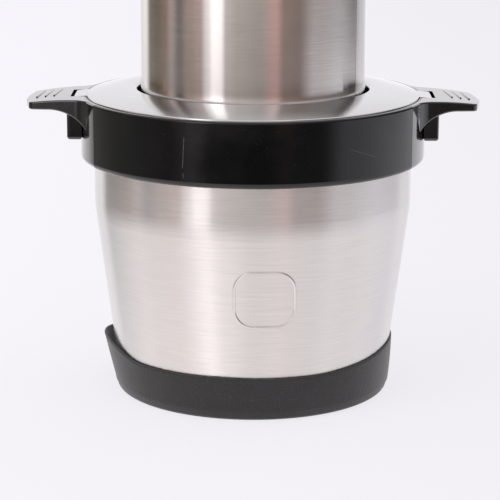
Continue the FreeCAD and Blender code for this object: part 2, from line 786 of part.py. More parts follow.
def wing_profile(top_t, keep_under):
    """Prism of the wing seen from the side; top_t lowers the top, keep_under shapes the underside."""
    half = 2 * WING_HALF_Y
    x0 = COLLAR_IN_R - WING_BACK
    x1 = WING_TIP_X + OVER
    xm = (COLLAR_MOUTH_R + WING_TIP_X) / 2
    low = COLLAR_TOP - 2 * GUSSET_H
    a = V(x0, -half, wing_top_z(COLLAR_MOUTH_R) - top_t)
    b = V(COLLAR_MOUTH_R, -half, wing_top_z(COLLAR_MOUTH_R) - top_t)
    m = V(xm, -half, wing_top_z(xm) - top_t)
    c = V(x1, -half, wing_top_z(x1) - top_t)
    edges = [Part.LineSegment(a, b).toShape(), Part.Arc(b, m, c).toShape()]
    if keep_under:
        tip, knee, middle, wall = under_edge(x1, WING_SIDE_H, WING_TIP_H, GUSSET_BOW, half)
        inner = V(x0, -half, wall.z)
        edges += [Part.LineSegment(c, tip).toShape(), Part.LineSegment(tip, knee).toShape(),
                  Part.Arc(knee, middle, wall).toShape(), Part.LineSegment(wall, inner).toShape(),
                  Part.LineSegment(inner, a).toShape()]
    else:
        tip = V(x1, -half, low)
        inner = V(x0, -half, low)
        edges += [Part.LineSegment(c, tip).toShape(), Part.LineSegment(tip, inner).toShape(),
                  Part.LineSegment(inner, a).toShape()]
    return Part.Face(Part.Wire(edges)).extrude(V(0, 2 * half, 0))


def wing_form(z0, z1):
    """The wing before it is hollowed, with its outer edges eased."""
    form = wing_plan(0, z0, z1).common(wing_profile(0, True)).cut(rod(ROOT_R + SNUG, z0, z1))
    past_knee = COLLAR_R + WING_KNEE_OUT + OVER
    rim = [e for e in form.Edges if e.BoundBox.XMax > past_knee and e.BoundBox.ZLength < e.Length / 2]
    return form.makeFillet(WING_EDGE_R, rim)


def pocket_x():
    """Inner and outer face of the pocket that takes the tab of the lid cover."""
    outer = COLLAR_R + POCKET_BLOCK_OUT - POCKET_WALL
    return outer - POCKET_W, outer


def pocket_block():
    """Rounded box that hangs under the wing and holds the pocket."""
    x1 = COLLAR_R + POCKET_BLOCK_OUT
    z0 = COLLAR_TOP - POCKET_BLOCK_H
    box = block(ROOT_R, x1, -POCKET_BLOCK_HALF_Y, POCKET_BLOCK_HALF_Y, z0,
                wing_top_z(x1) - WING_TOP_T / 2)
    low = [e for e in box.Edges if e.BoundBox.ZMax < z0 + SAME]
    outer = [e for e in upright_edges(box) if e.BoundBox.XMin > x1 - SAME]
    return box.makeFillet(POCKET_BLOCK_R, low + outer)


def groove(index):
    """One grip groove with its round dimple at the front end."""
    x = GROOVE_FIRST_X + index * GROOVE_PITCH
    z = wing_top_z(x - GROOVE_SLANT / 2)
    length = math.hypot(GROOVE_BACK_Y - GROOVE_FRONT_Y, GROOVE_SLANT)
    slot = block(-GROOVE_W / 2, GROOVE_W / 2, 0, length, z - GROOVE_DEPTH, z + 2 * OVER)
    lean = math.degrees(math.atan2(GROOVE_SLANT, GROOVE_BACK_Y - GROOVE_FRONT_Y))
    slot = turned(slot, lean)
    slot.translate(V(x, GROOVE_FRONT_Y, 0))
    dimple = Part.makeCone(DIMPLE_R * DIMPLE_FLOOR, DIMPLE_R * DIMPLE_MOUTH, 2 * DIMPLE_DEPTH,
                           V(x, GROOVE_FRONT_Y, wing_top_z(x) - DIMPLE_DEPTH), UP)
    return [slot, dimple]


def handle_right():
    """Wing, gussets, pocket and root plate in one moulding on the +X side."""
    z0 = COLLAR_Z - OVER
    z1 = COLLAR_TOP + WING_ROOM
    wing = wing_form(z0, z1)
    channel = wing_plan(WING_WALL, z0, z1).common(wing_profile(WING_TOP_T, False))
    channel = channel.cut(rod(COLLAR_R, z0 - OVER, z1 + OVER))
    joint = ROOT_HALF_DEG - math.degrees(ROOT_JOINT / COLLAR_R)
    root = collar_full().common(sector(ROOT_R + SNUG, COLLAR_R + OVER, joint, z0, z1))
    box = pocket_block().cut(rod(ROOT_R + SNUG, z0, z1))
    body = fused(wing.cut(channel), root, box)
    x0, x1 = pocket_x()
    half = TONGUE_HALF_Y + TONGUE_CLEAR
    pocket = block(x0, x1, -half, half, COVER_RIM_Z - TONGUE_DROP - POCKET_DEPTH, z1)
    cuts = [pocket, tongue_notch()]
    for i in range(GROOVES):
        cuts += groove(i)
    for z, turn in handle_screw_places()[:2]:
        cuts.append(radial_rod(HANDLE_SCREW_R + SNUG, ROOT_R, HANDLE_SCREW_END + SNUG, z, turn))
    return body.cut(cuts).removeSplitter()


def mirrored(shape):
    return shape.mirror(ORIGIN, ALONG_X)


# Lid


def lid_cover():
    """Shallow steel dish with a lip round its hole and a tongue at each side."""
    chain = [(COVER_HOLE_R, COVER_TOP_Z - COVER_LIP, 0), (COVER_HOLE_R, COVER_TOP_Z, COVER_HOLE_BEND_R),
             (COVER_R, COVER_RIM_Z, COVER_BEND_R), (COVER_R, COVER_RIM_Z - COVER_LIP, 0)]
    dish = revolved(sheet_section(chain, -COVER_SHEET))
    tongue = tongue_strip()
    hole = rod(COVER_R - COVER_SHEET, COVER_RIM_Z - FAR, COVER_TOP_Z + FAR)
    slot = block(0, COVER_R + 2 * OVER, -TONGUE_HALF_Y, TONGUE_HALF_Y, COVER_RIM_Z - FAR,
                 COVER_RIM_Z - COVER_SHEET - COVER_SLOT_DROP)
    dish = dish.cut([slot, mirrored(slot)])
    tongue = tongue.cut(hole)
    return fused(dish, tongue, mirrored(tongue))


def tongue_strip():
    """Tongue that runs out from the rim and turns down into the pocket of the wing."""
    start = (COVER_R - TONGUE_ROOT, COVER_RIM_Z - TONGUE_SINK, 0)
    bend = (TONGUE_X, COVER_RIM_Z - TONGUE_DROP, COVER_BEND_R)
    end = (TONGUE_X, COVER_RIM_Z - TONGUE_DROP - TONGUE_TAB, 0)
    face = outline(sheet_section([start, bend, end], -COVER_SHEET), in_section)
    strip = face.extrude(V(0, 2 * TONGUE_HALF_Y, 0))
    strip.translate(V(0, -TONGUE_HALF_Y, 0))
    return strip


def lid_rim():
    """Shelf that stands on the bowl's rim, the wall up to the cover and the skirt down into the bowl."""
    cover_under = COVER_RIM_Z - COVER_SHEET - SNUG - LID_COVER_GAP
    skirt_in = SKIRT_R - LID_SKIRT_T
    wall_in = LID_R - LID_RIM_WALL
    shelf_top = LID_Z + LID_SHELF_T
    return revolved([(skirt_in, shelf_top, 0), (skirt_in, SKIRT_Z, 0), (SKIRT_R, SKIRT_Z, 0),
                     (SKIRT_R, LID_Z, 0), (LID_R, LID_Z, 0), (LID_R, cover_under, 0),
                     (wall_in, cover_under, 0), (wall_in, shelf_top, 0)])


def lid_foot():
    """Ring under the drum with a spigot inside it."""
    low = WEB_TOP - MELD
    spigot_out = DRUM_IN_R - SNUG
    spigot_in = spigot_out - DRUM_SPIGOT_T
    spigot_top = DRUM_Z + DRUM_SPIGOT_H
    return revolved([(spigot_in, low, 0), (LID_FOOT_R, low, 0), (LID_FOOT_R, DRUM_Z, 0),
                     (spigot_out, DRUM_Z, 0), (spigot_out, spigot_top, 0), (spigot_in, spigot_top, 0)])


def lid_base():
    """Moulding that closes the bowl: rim shelf, seal skirt, web, ribs, drum foot and boss."""
    web_r = SKIRT_R - LID_SKIRT_T + MELD
    bush_r = OUTPUT_R + OUTPUT_BUSH_T + SNUG
    web = tube(bush_r, web_r, WEB_Z, WEB_TOP)
    boss = tube(bush_r, LID_BOSS_R, BOSS_Z, WEB_Z + MELD)
    rib = block(LID_FOOT_R - MELD, web_r, -LID_RIB_T / 2, LID_RIB_T / 2,
                WEB_TOP - MELD, WEB_TOP + LID_RIB_H)
    base = fused(lid_rim(), web, lid_foot(), boss, *around(rib, LID_RIBS, 180.0 / LID_RIBS))
    groove_cut = tube(SKIRT_R - SEAL_GROOVE, SKIRT_R + OVER, SEAL_Z, SEAL_Z + SEAL_H)
    hole = rod(GEARBOX_SCREW_R + SNUG, WEB_Z - OVER, WEB_TOP + OVER, gearbox_screw_r())
    return base.cut([groove_cut] + around(hole, GEARBOX_SCREWS, GEARBOX_SCREW_DEG))


def lid_seal():
    """Soft ring in the groove of the skirt that wipes the inside of the bowl."""
    z0 = SEAL_Z + SNUG
    z1 = SEAL_Z + SEAL_H - SNUG
    r0 = SKIRT_R - SEAL_GROOVE + SNUG
    shoulder = SKIRT_R - SEAL_SHY
    lip = BOWL_R - BOWL_SHEET - SEAT_GAP
    return revolved([(r0, z0, 0), (shoulder, z0, 0), (lip, (z0 + z1) / 2, 0),
                     (shoulder, z1, 0), (r0, z1, 0)])


def motor_housing():
    """Steel drum with its long seam."""
    drum = tube(DRUM_IN_R, DRUM_R, DRUM_Z, DRUM_TOP)
    seam = block(DRUM_R - DRUM_SEAM_DEPTH, DRUM_R + OVER, -DRUM_SEAM_W / 2, DRUM_SEAM_W / 2,
                 DRUM_Z - OVER, DRUM_TOP + OVER)
    return drum.cut(turned(seam, DRUM_SEAM_DEG))


# Cap, buttons and switch


def button_face(grow):
    """Half moon outline of a button on the +X side, grown all round."""
    split = BUTTON_SPLIT / 2 - grow
    r = BUTTON_R + grow
    disc = Part.Face(Part.Wire(Part.makeCircle(r, ORIGIN, UP)))
    cutter = Part.Face(Part.makePolygon([V(split, -2 * r, 0), V(2 * r, -2 * r, 0), V(2 * r, 2 * r, 0),
                                         V(split, 2 * r, 0), V(split, -2 * r, 0)]))
    return disc.common(cutter).Faces[0]


def button_prism(grow, z0, z1):
    face = button_face(grow)
    face.translate(V(0, 0, z0))
    return face.extrude(V(0, 0, z1 - z0))


def button():
    """Half moon push button with a retaining ledge and a stem inside its spring."""
    pad = button_prism(0, BUTTON_LEDGE_Z, BUTTON_TOP)
    top = [e for e in pad.Edges if e.BoundBox.ZMin > BUTTON_TOP - SAME]
    pad = pad.makeFillet(BUTTON_EDGE_R, top)
    ledge = button_prism(BUTTON_LEDGE, BUTTON_LEDGE_Z, BUTTON_LEDGE_TOP)
    ledge = ledge.cut(block(-OVER, BUTTON_SPLIT / 2 - BODY_GAP, -BUTTON_R * 2, BUTTON_R * 2,
                            BUTTON_LEDGE_Z - OVER, BUTTON_LEDGE_TOP + OVER))
    stem = rod(BUTTON_STEM_R, SWITCH_TOP + BUTTON_TRAVEL + AXIAL_GAP, BUTTON_LEDGE_Z, BUTTON_STEM_X)
    return fused(pad, ledge, stem)


def button_spring():
    """Coil spring round the stem, between the switch and the button."""
    z0 = SWITCH_TOP + SPRING_WIRE_R
    height = BUTTON_LEDGE_Z - SWITCH_TOP - 2 * SPRING_WIRE_R
    helix = Part.makeHelix(height / SPRING_TURNS, height, SPRING_R)
    points = [V(SPRING_R + x, 0, z) for x, z in six_corners(SPRING_WIRE_R)]
    coil = Part.Wire(helix).makePipeShell([Part.makePolygon(points)], True, True)
    coil.translate(V(BUTTON_STEM_X, 0, z0))
    return coil


def switch_block():
    """Two way push switch on a plate that stands on the motor bracket."""
    body = block(-SWITCH_HALF_X, SWITCH_HALF_X, -SWITCH_HALF_Y, SWITCH_HALF_Y, SWITCH_Z, SWITCH_TOP)
    return body.makeFillet(SWITCH_EDGE_R, upright_edges(body))


def switch_plate():
    x = SWITCH_POST_X + SWITCH_POST_R
    plate = block(-x, x, -SWITCH_HALF_Y, SWITCH_HALF_Y, SWITCH_PLATE_Z, SWITCH_Z)
    post = rod(SWITCH_POST_R, PLATE_Z + BRACKET_T, SWITCH_PLATE_Z + MELD, SWITCH_POST_X)
    return fused(plate, post, mirrored(post))


def cap_section(grow, shoulder_r, hip_r, crown_r):
    """Outside of the cap, moved in by grow, with the radii of its three bends."""
    r = DRUM_R - grow
    top = CAP_TOP - grow
    return [(0, top, 0), (CAP_TOP_R, top, crown_r), (CAP_HIP_R - grow, top - CAP_HIP_DROP, hip_r),
            (r, DRUM_TOP + CAP_SIDE_H, shoulder_r), (r, DRUM_TOP, 0), (0, DRUM_TOP, 0)]


def cap_vents():
    """Two rows of upright slots low on the cap."""
    z0 = DRUM_TOP + CAP_VENT_UP
    vent = block(DRUM_R - 3 * CAP_WALL, DRUM_R + OVER, -CAP_VENT_W / 2, CAP_VENT_W / 2,
                 z0, z0 + CAP_VENT_H)
    cuts = []
    for side in CAP_VENT_SIDES_DEG:
        for i in range(CAP_VENTS):
            cuts.append(turned(vent, side + (i - (CAP_VENTS - 1) / 2) * CAP_VENT_STEP_DEG))
    return cuts


def top_cap():
    """Domed moulding over the motor, with button openings, vents, bosses and the cord hole."""
    inside = revolved(cap_section(CAP_WALL, 0, 0, 0))
    shell = revolved(cap_section(0, CAP_SHOULDER_R, CAP_HIP_BEND_R, CAP_CROWN_R)).cut(inside)
    spigot_r = DRUM_IN_R - SNUG
    spigot = tube(spigot_r - CAP_WALL, spigot_r, DRUM_TOP - CAP_SPIGOT_H, DRUM_TOP + CAP_WALL)
    boss = rod(CAP_BOSS_R, UPPER_BEARING_Z, CAP_UNDER + MELD, 0, CAP_BOSS_Y)
    boss = boss.common(revolved(cap_section(CAP_WALL / 2, 0, 0, 0)))
    cap = fused(shell, spigot, boss, boss.mirror(ORIGIN, ALONG_Y))
    opening = button_prism(BODY_GAP, CAP_UNDER - OVER, CAP_TOP + OVER)
    screw_end = UPPER_BEARING_Z + CAP_SCREW_L
    screw_hole = rod(CAP_SCREW_R + SNUG, UPPER_BEARING_Z - OVER, screw_end, 0, CAP_BOSS_Y)
    cuts = [opening, mirrored(opening), screw_hole, screw_hole.mirror(ORIGIN, ALONG_Y),
            gland_rod(GLAND_NECK_R + SNUG, DRUM_R - 2 * CAP_WALL, DRUM_R + OVER)]
    return cap.cut(cuts + cap_vents())


def gland_rod(radius, r0, r1):
    z = DRUM_TOP + GLAND_UP
    return Part.makeCylinder(radius, r1 - r0, V(0, r0, z), ALONG_Y)


def cord_gland():
    """Rubber bush in the back of the cap where a mains lead would enter."""
    outer = DRUM_R + GLAND_FLANGE_T
    seat = rod(DRUM_R + SNUG, DRUM_TOP - GLAND_R, CAP_TOP)
    flange = gland_rod(GLAND_R, DRUM_R - GLAND_FLANGE_T, outer).cut(seat)
    neck = gland_rod(GLAND_NECK_R, DRUM_R - CAP_WALL - GLAND_NECK_IN, outer)
    return fused(flange, neck).cut(gland_rod(GLAND_BORE_R, 0, outer + OVER))


def cap_screw():
    """Screw up through an ear of the motor bracket into a boss of the cap."""
    head = rod(CAP_SCREW_HEAD_R, PLATE_Z - CAP_SCREW_HEAD_T, PLATE_Z, 0, CAP_BOSS_Y)
    stem = rod(CAP_SCREW_R, PLATE_Z, UPPER_BEARING_Z + CAP_SCREW_L - CAP_SCREW_TIP_GAP, 0, CAP_BOSS_Y)
    return fused(head, stem)


# Gearbox


def involute(angle):
    return math.tan(angle) - angle


def half_tooth(radius, pitch_r, base_r, half_at_pitch):
    """Half angle of a tooth at a radius on its involute flank."""
    at_pitch = involute(math.acos(base_r / pitch_r))
    here = involute(math.acos(min(1.0, base_r / max(radius, base_r))))
    return half_at_pitch + at_pitch - here


def gear_face(teeth, low, high, thinner):
    """Toothed outline with a tooth on +X: low and high are root and tip in modules."""
    pitch_r = MODULE * teeth / 2
    base_r = pitch_r * math.cos(math.radians(PRESSURE_DEG))
    half_at_pitch = math.pi / (2 * teeth) - thinner / (2 * pitch_r)
    root = pitch_r - low * MODULE
    tip = pitch_r + high * MODULE
    radii = [root, max(root, base_r), pitch_r, (pitch_r + tip) / 2, tip]
    flank = [(r, half_tooth(r, pitch_r, base_r, half_at_pitch)) for r in radii]
    if flank[1][0] - flank[0][0] < SAME:
        flank.pop(0)
    points = []
    for i in range(teeth):
        middle = 2 * math.pi * i / teeth
        points += [(r, middle - half) for r, half in flank]
        points += [(r, middle + half) for r, half in flank[::-1]]
    ring = [V(r * math.cos(a), r * math.sin(a), 0) for r, a in points]
    return Part.Face(Part.makePolygon(ring + ring[:1]))


def gear_prism(teeth, low, high, thinner, z0, z1):
    face = gear_face(teeth, low, high, thinner)
    face.translate(V(0, 0, z0))
    return face.extrude(V(0, 0, z1 - z0))


def gearbox_screw_r():
    return GEARBOX_R + GEARBOX_SCREW_HEAD_R


def gearbox_housing():
    """Cup with the ring gear cut into its wall and four screw ears."""
    cup = rod(GEARBOX_R, WEB_TOP, GEARBOX_TOP)
    ear_top = WEB_TOP + GEARBOX_SCREW_L
    ear = rod(GEARBOX_SCREW_HEAD_R + GEARBOX_EAR_RIM, WEB_TOP, ear_top, gearbox_screw_r())
    cup = fused(cup, *around(ear, GEARBOX_SCREWS, GEARBOX_SCREW_DEG))
    low = GEAR_Z - AXIAL_GAP / 2
    teeth = gear_prism(RING_TEETH, ADDENDUM, DEDENDUM, -BACKLASH, low, GEARBOX_TOP + OVER)
    teeth = turned(teeth, 180.0 / RING_TEETH)
    well = rod(PITCH_RING - ADDENDUM * MODULE, WEB_TOP + GEARBOX_FLOOR, GEAR_Z)
    bore = rod(OUTPUT_R + OUTPUT_BUSH_T + SNUG, WEB_TOP - OVER, WEB_TOP + GEARBOX_FLOOR + OVER)
    hole = rod(GEARBOX_SCREW_R + SNUG, WEB_TOP - OVER, ear_top - GEARBOX_EAR_ROOF, gearbox_screw_r())
    return cup.cut([teeth, well, bore] + around(hole, GEARBOX_SCREWS, GEARBOX_SCREW_DEG))


def gearbox_screw():
    """Screw up through the lid web into an ear of the gearbox."""
    head = rod(GEARBOX_SCREW_HEAD_R, WEB_Z - GEARBOX_SCREW_HEAD_T, WEB_Z, gearbox_screw_r())
    tip = WEB_TOP + GEARBOX_SCREW_L - GEARBOX_EAR_ROOF - GEARBOX_SCREW_TIP_GAP
    stem = rod(GEARBOX_SCREW_R, WEB_Z, tip, gearbox_screw_r())
    return fused(head, stem)


def gearbox_cover():
    return tube(SHAFT_R + BODY_GAP, GEARBOX_R, GEARBOX_TOP, BRACKET_Z)


def sun_pinion():
    gear = gear_prism(SUN_TEETH, DEDENDUM, ADDENDUM, BACKLASH, GEAR_Z, GEAR_TOP)
    return gear.cut(rod(SHAFT_R + SNUG, GEAR_Z - OVER, GEAR_TOP + OVER))


def planet_gear(index):
    """Planet with a gap facing the sun pinion, carried round to its place."""
    gear = gear_prism(PLANET_TEETH, DEDENDUM, ADDENDUM, BACKLASH, GEAR_Z, GEAR_TOP)
    gear = turned(gear, 180.0 / PLANET_TEETH)
    gear = gear.cut(rod(PLANET_PIN_R + RUN_FIT, GEAR_Z - OVER, GEAR_TOP + OVER))
    gear.translate(V(PLANET_ORBIT, 0, 0))
    return turned(gear, 360.0 * index / PLANETS)


def planet_carrier():
    """Disc with a pin for each planet on the output shaft, which has a driving flat."""
    disc = rod(PLANET_ORBIT + CARRIER_RIM, CARRIER_Z, CARRIER_TOP)
    pin = rod(PLANET_PIN_R, CARRIER_TOP - MELD, GEAR_TOP + AXIAL_GAP, PLANET_ORBIT)
    shaft = rod(OUTPUT_R, COUPLER_Z + COUPLER_SOCKET, CARRIER_Z + MELD)
    flat = block(OUTPUT_R - OUTPUT_FLAT, OUTPUT_R + OVER, -OUTPUT_R, OUTPUT_R,
                 COUPLER_Z, COUPLER_Z + COUPLER_H)
    relief = rod(SHAFT_R + CARRIER_RELIEF, CARRIER_TOP - CARRIER_RELIEF, CARRIER_TOP + OVER)
    return fused(disc, shaft, *around(pin, PLANETS)).cut([flat, relief])


def output_bush():
    """Bronze bush that carries the output shaft in the boss of the lid."""
    r0 = OUTPUT_R + RUN_FIT
    r1 = OUTPUT_R + OUTPUT_BUSH_T
    return tube(r0, r1, BOSS_Z + SHAFT_SEAL_T, WEB_TOP + GEARBOX_FLOOR)


def shaft_seal():
    """Lip seal at the mouth of the boss, its lip just clear of the shaft."""
    r0 = OUTPUT_R + SEAT_GAP
    r1 = OUTPUT_R + OUTPUT_BUSH_T
    z1 = BOSS_Z + SHAFT_SEAL_T - SNUG
    body_r = r0 + SHAFT_LIP_W
    return revolved([(r1, BOSS_Z, 0), (r1, z1, 0), (body_r, z1, 0), (body_r, BOSS_Z + SHAFT_LIP_ROOT_T, 0),
                     (r0, BOSS_Z + SHAFT_LIP_T, 0), (r0, BOSS_Z, 0)])


def hexagon(flats, z0, z1):
    points = [V(x, y, z0) for x, y in six_corners(flats / math.sqrt(3))]
    return Part.Face(Part.makePolygon(points)).extrude(V(0, 0, z1 - z0))


def drive_coupler():
    """Sleeve on the output shaft with a hexagon socket for the blade hub."""
    sleeve = rod(COUPLER_R, COUPLER_Z, COUPLER_Z + COUPLER_H)
    floor = COUPLER_Z + COUPLER_SOCKET
    top = COUPLER_Z + COUPLER_H
    socket = hexagon(HEX_FLATS + 2 * BODY_GAP, COUPLER_Z - OVER, floor - AXIAL_GAP)
    seat = rod(OUTPUT_R + SNUG, floor - OVER, top + OVER)
    flat = block(OUTPUT_R - OUTPUT_FLAT + SNUG, OUTPUT_R + OVER, -OUTPUT_R, OUTPUT_R,
                 floor - 2 * OVER, top + 2 * OVER)
    return sleeve.cut([socket, seat.cut(flat)])


# Motor


def at_pillars(shape):
    """Copies of a shape at the four motor pillars."""
    copies = []
    for x in (-PILLAR_X, PILLAR_X):
        for y in (-PILLAR_Y, PILLAR_Y):
            copy = shape.copy()
            copy.translate(V(x, y, 0))
            copies.append(copy)
    return copies


def lower_bracket():
    """End frame on the gearbox with the lower bearing seat and four pillars."""
    r = math.hypot(PILLAR_X, PILLAR_Y) + PILLAR_R + BRACKET_EDGE
    plate = rod(r, BRACKET_Z, LOWER_BEARING_Z)
    boss = rod(BEARING_R + BEARING_WALL, BRACKET_Z, LOWER_BEARING_Z + BEARING_T)
    pillars = at_pillars(rod(PILLAR_R, BRACKET_Z, STATOR_Z))
    low = BRACKET_Z - OVER
    high = LOWER_BEARING_Z + OVER
    window_in = BEARING_R + BEARING_WALL + BRACKET_WINDOW_IN
    window_out = r - 2 * PILLAR_R - BRACKET_WINDOW_OUT
    window = sector(window_in, window_out, BRACKET_WINDOW_DEG, low, high)
    bore = rod(BEARING_R + SNUG, LOWER_BEARING_Z, high + BEARING_T)
    shaft_hole = rod(SHAFT_R + SHAFT_CLEAR, low, high)
    bolts = at_pillars(rod(MOTOR_BOLT_R + SNUG, low, STATOR_Z + OVER))
    windows = around(window, 2) + around(window, 2, 90)
    return fused(plate, boss, *pillars).cut([bore, shaft_hole] + windows + bolts)


def stator_core():
    """Laminated two pole stack: rounded yoke, two poles and the coil windows."""
    x = STATOR_HALF_X
    y = STATOR_HALF_Y
    c = STATOR_CORNER_R
    face = outline([(-x, -y, c), (x, -y, c), (x, y, c), (-x, y, c)], in_plan)
    face.translate(V(0, 0, STATOR_Z))
    stack = face.extrude(V(0, 0, STACK_H))
    z0 = STATOR_Z - OVER
    z1 = STATOR_TOP + OVER
    bore_r = ARMATURE_R + AIR_GAP
    window_x = x - STATOR_YOKE
    window = block(-window_x, window_x, -(y - STATOR_YOKE), y - STATOR_YOKE, z0, z1)
    pole = block(-POLE_HALF_X, POLE_HALF_X, -y, y, z0, z1)
    shoe = rod(bore_r + SHOE_T, z0, z1)
    gap_x = bore_r + SHOE_GAP_OUT
    side_gap = block(-gap_x, gap_x, -SHOE_GAP_HALF, SHOE_GAP_HALF, z0, z1)
    iron = fused(pole, shoe.cut(side_gap))
    cuts = [window.cut(iron), rod(bore_r, z0, z1)] + at_pillars(rod(MOTOR_BOLT_R + SNUG, z0, z1))
    return stack.cut(cuts)


def field_coil():
    """Wire coil round one pole, standing out above and below the stack."""
    y0 = ARMATURE_R + AIR_GAP + SHOE_T + COIL_SHOE_GAP
    y1 = STATOR_HALF_Y - STATOR_YOKE - COIL_SIDE_GAP
    inner_x = POLE_HALF_X + COIL_SIDE_GAP
    outer_x = inner_x + COIL_T
    outer = block(-outer_x, outer_x, y0, y1, STATOR_Z - COIL_HEAD, STATOR_TOP + COIL_HEAD)
    corners = [e for e in outer.Edges if e.BoundBox.YLength > e.Length / 2]
    outer = outer.makeFillet(COIL_T / 2, corners)
    return outer.cut(block(-inner_x, inner_x, y0 - OVER, y1 + OVER,
                           STATOR_Z - COIL_END_GAP, STATOR_TOP + COIL_END_GAP))


def armature_shaft():
    return rod(SHAFT_R, GEAR_Z, SHAFT_TOP)


def armature_core():
    """Slotted stack pressed on the motor shaft."""
    core = tube(SHAFT_R + SNUG, ARMATURE_R, STATOR_Z, STATOR_TOP)
    slot = block(ARMATURE_R - SLOT_DEPTH, ARMATURE_R + OVER, -SLOT_W / 2, SLOT_W / 2,
                 STATOR_Z - OVER, STATOR_TOP + OVER)
    return core.cut(around(slot, ARMATURE_SLOTS))


def armature_winding(z0, z1):
    """Ring of end turns at one end of the armature, its outer corners eased."""
    r0 = SHAFT_R + WINDING_INNER
    ease = WINDING_EASE
    return revolved([(r0, z0, 0), (WINDING_R - ease, z0, 0), (WINDING_R, z0 + ease, 0),
                     (WINDING_R, z1 - ease, 0), (WINDING_R - ease, z1, 0), (r0, z1, 0)])


def commutator():
    body = tube(SHAFT_R + SNUG, COMMUTATOR_R, COMMUTATOR_Z, COMMUTATOR_Z + COMMUTATOR_H)
    cut = block(COMMUTATOR_R - COMMUTATOR_GROOVE_DEPTH, COMMUTATOR_R + OVER,
                -COMMUTATOR_GROOVE / 2, COMMUTATOR_GROOVE / 2,
                COMMUTATOR_Z - OVER, COMMUTATOR_Z + COMMUTATOR_H + OVER)
    return body.cut(around(cut, COMMUTATOR_BARS, 180.0 / COMMUTATOR_BARS))


def cooling_fan():
    """Backed fan with leaning blades on the motor shaft."""
    top = FAN_Z + FAN_T
    hub = rod(FAN_HUB_R, FAN_Z, top)
    disc = rod(FAN_R, top - FAN_DISC_T, top)
    length = FAN_R - FAN_HUB_R - FAN_MELD
    blade = block(0, length, -FAN_BLADE_T / 2, FAN_BLADE_T / 2, FAN_Z, top - FAN_MELD)
    blade = blade.rotated(ORIGIN, UP, FAN_BLADE_LEAN_DEG)
    blade.translate(V(FAN_HUB_R - FAN_MELD, 0, 0))
    fan = fused(hub, disc, *around(blade, FAN_BLADES))
    return fan.common(rod(FAN_R, FAN_Z, top)).cut(rod(SHAFT_R + SNUG, FAN_Z - OVER, top + OVER))


def bearing(z0):
    """Plain ball race block: outer ring, inner step and shield grooves."""
    r0 = SHAFT_R + RUN_FIT
    third = (BEARING_R - r0) / 3
    inner = r0 + third
    outer = BEARING_R - third
    z1 = z0 + BEARING_T
    low = z0 + BEARING_DIP
    high = z1 - BEARING_DIP
    return revolved([(r0, z0, 0), (inner, z0, 0), (inner, low, 0), (outer, low, 0), (outer, z0, 0),
                     (BEARING_R, z0, 0), (BEARING_R, z1, 0), (outer, z1, 0), (outer, high, 0),
                     (inner, high, 0), (inner, z1, 0), (r0, z1, 0)])


def upper_bracket():
    """Bridge over the stator with the upper bearing seat, pillars and ears for the cap."""
    arm = block(-PILLAR_X, PILLAR_X, -PILLAR_R, PILLAR_R, PLATE_Z, UPPER_BEARING_Z)
    turn = math.degrees(math.atan2(PILLAR_Y, PILLAR_X))
    reach = math.hypot(PILLAR_X, PILLAR_Y)
    long_arm = block(-reach, reach, -PILLAR_R, PILLAR_R, PLATE_Z, UPPER_BEARING_Z)
    ear_arm = block(-PILLAR_R, PILLAR_R, -CAP_BOSS_Y, CAP_BOSS_Y, PLATE_Z, UPPER_BEARING_Z)
    sides = (-CAP_BOSS_Y, CAP_BOSS_Y)
    ears = [rod(CAP_BOSS_R, PLATE_Z, UPPER_BEARING_Z, 0, y) for y in sides]
    boss = rod(BEARING_R + BEARING_WALL, PLATE_Z, SHAFT_TOP)
    pillars = at_pillars(rod(PILLAR_R, STATOR_TOP, UPPER_BEARING_Z))
    solid = fused(arm, turned(long_arm, turn), turned(long_arm, -turn), ear_arm, boss, *ears, *pillars)
    low = PLATE_Z - OVER
    high = UPPER_BEARING_Z + OVER
    cuts = [rod(BEARING_R + SNUG, UPPER_BEARING_Z, SHAFT_TOP + OVER),
            rod(SHAFT_R + SHAFT_CLEAR, low, SHAFT_TOP)]
    cuts += at_pillars(rod(MOTOR_BOLT_R + SNUG, STATOR_TOP - OVER, high))
    cuts += [rod(CAP_SCREW_R + SNUG, low, high, 0, y) for y in sides]
    return solid.cut(cuts)


def brush_z():
    return COMMUTATOR_Z + (COMMUTATOR_H - BRUSH_H) / 2


def brush():
    x0 = COMMUTATOR_R + SEAT_GAP
    return block(x0, x0 + BRUSH_L, -BRUSH_HALF_Y, BRUSH_HALF_Y, brush_z(), brush_z() + BRUSH_H)


def brush_holder():
    """Box that guides a brush, hung from the upper bracket."""
    x0 = COMMUTATOR_R + HOLDER_GAP
    x1 = x0 + BRUSH_L
    y = BRUSH_HALF_Y + HOLDER_WALL
    z0 = brush_z() - HOLDER_WALL
    box = block(x0, x1, -y, y, z0, PLATE_Z)
    slide_way = block(x0 - OVER, x1 - HOLDER_WALL, -BRUSH_HALF_Y - SNUG, BRUSH_HALF_Y + SNUG,
                      brush_z() - SNUG, brush_z() + BRUSH_H + SNUG)
    return box.cut(slide_way)


def motor_bolt():
    """Long bolt that clamps both brackets to the stack."""
    stem = rod(MOTOR_BOLT_R, BRACKET_Z + MOTOR_BOLT_SHY, UPPER_BEARING_Z)
    head = rod(MOTOR_BOLT_HEAD_R, UPPER_BEARING_Z, UPPER_BEARING_Z + MOTOR_BOLT_HEAD_T)
    return fused(stem, head)


# Blades


def hub_core(grow, z0, z1):
    """Round core with two flats that stop the blades from turning on it."""
    core = rod(HUB_R + grow, z0, z1)
    flat = block(-HUB_R * 2, HUB_R * 2, HUB_FLAT + grow, HUB_R * 2, z0 - OVER, z1 + OVER)
    return core.cut([flat, flat.mirror(ORIGIN, ALONG_Y)])


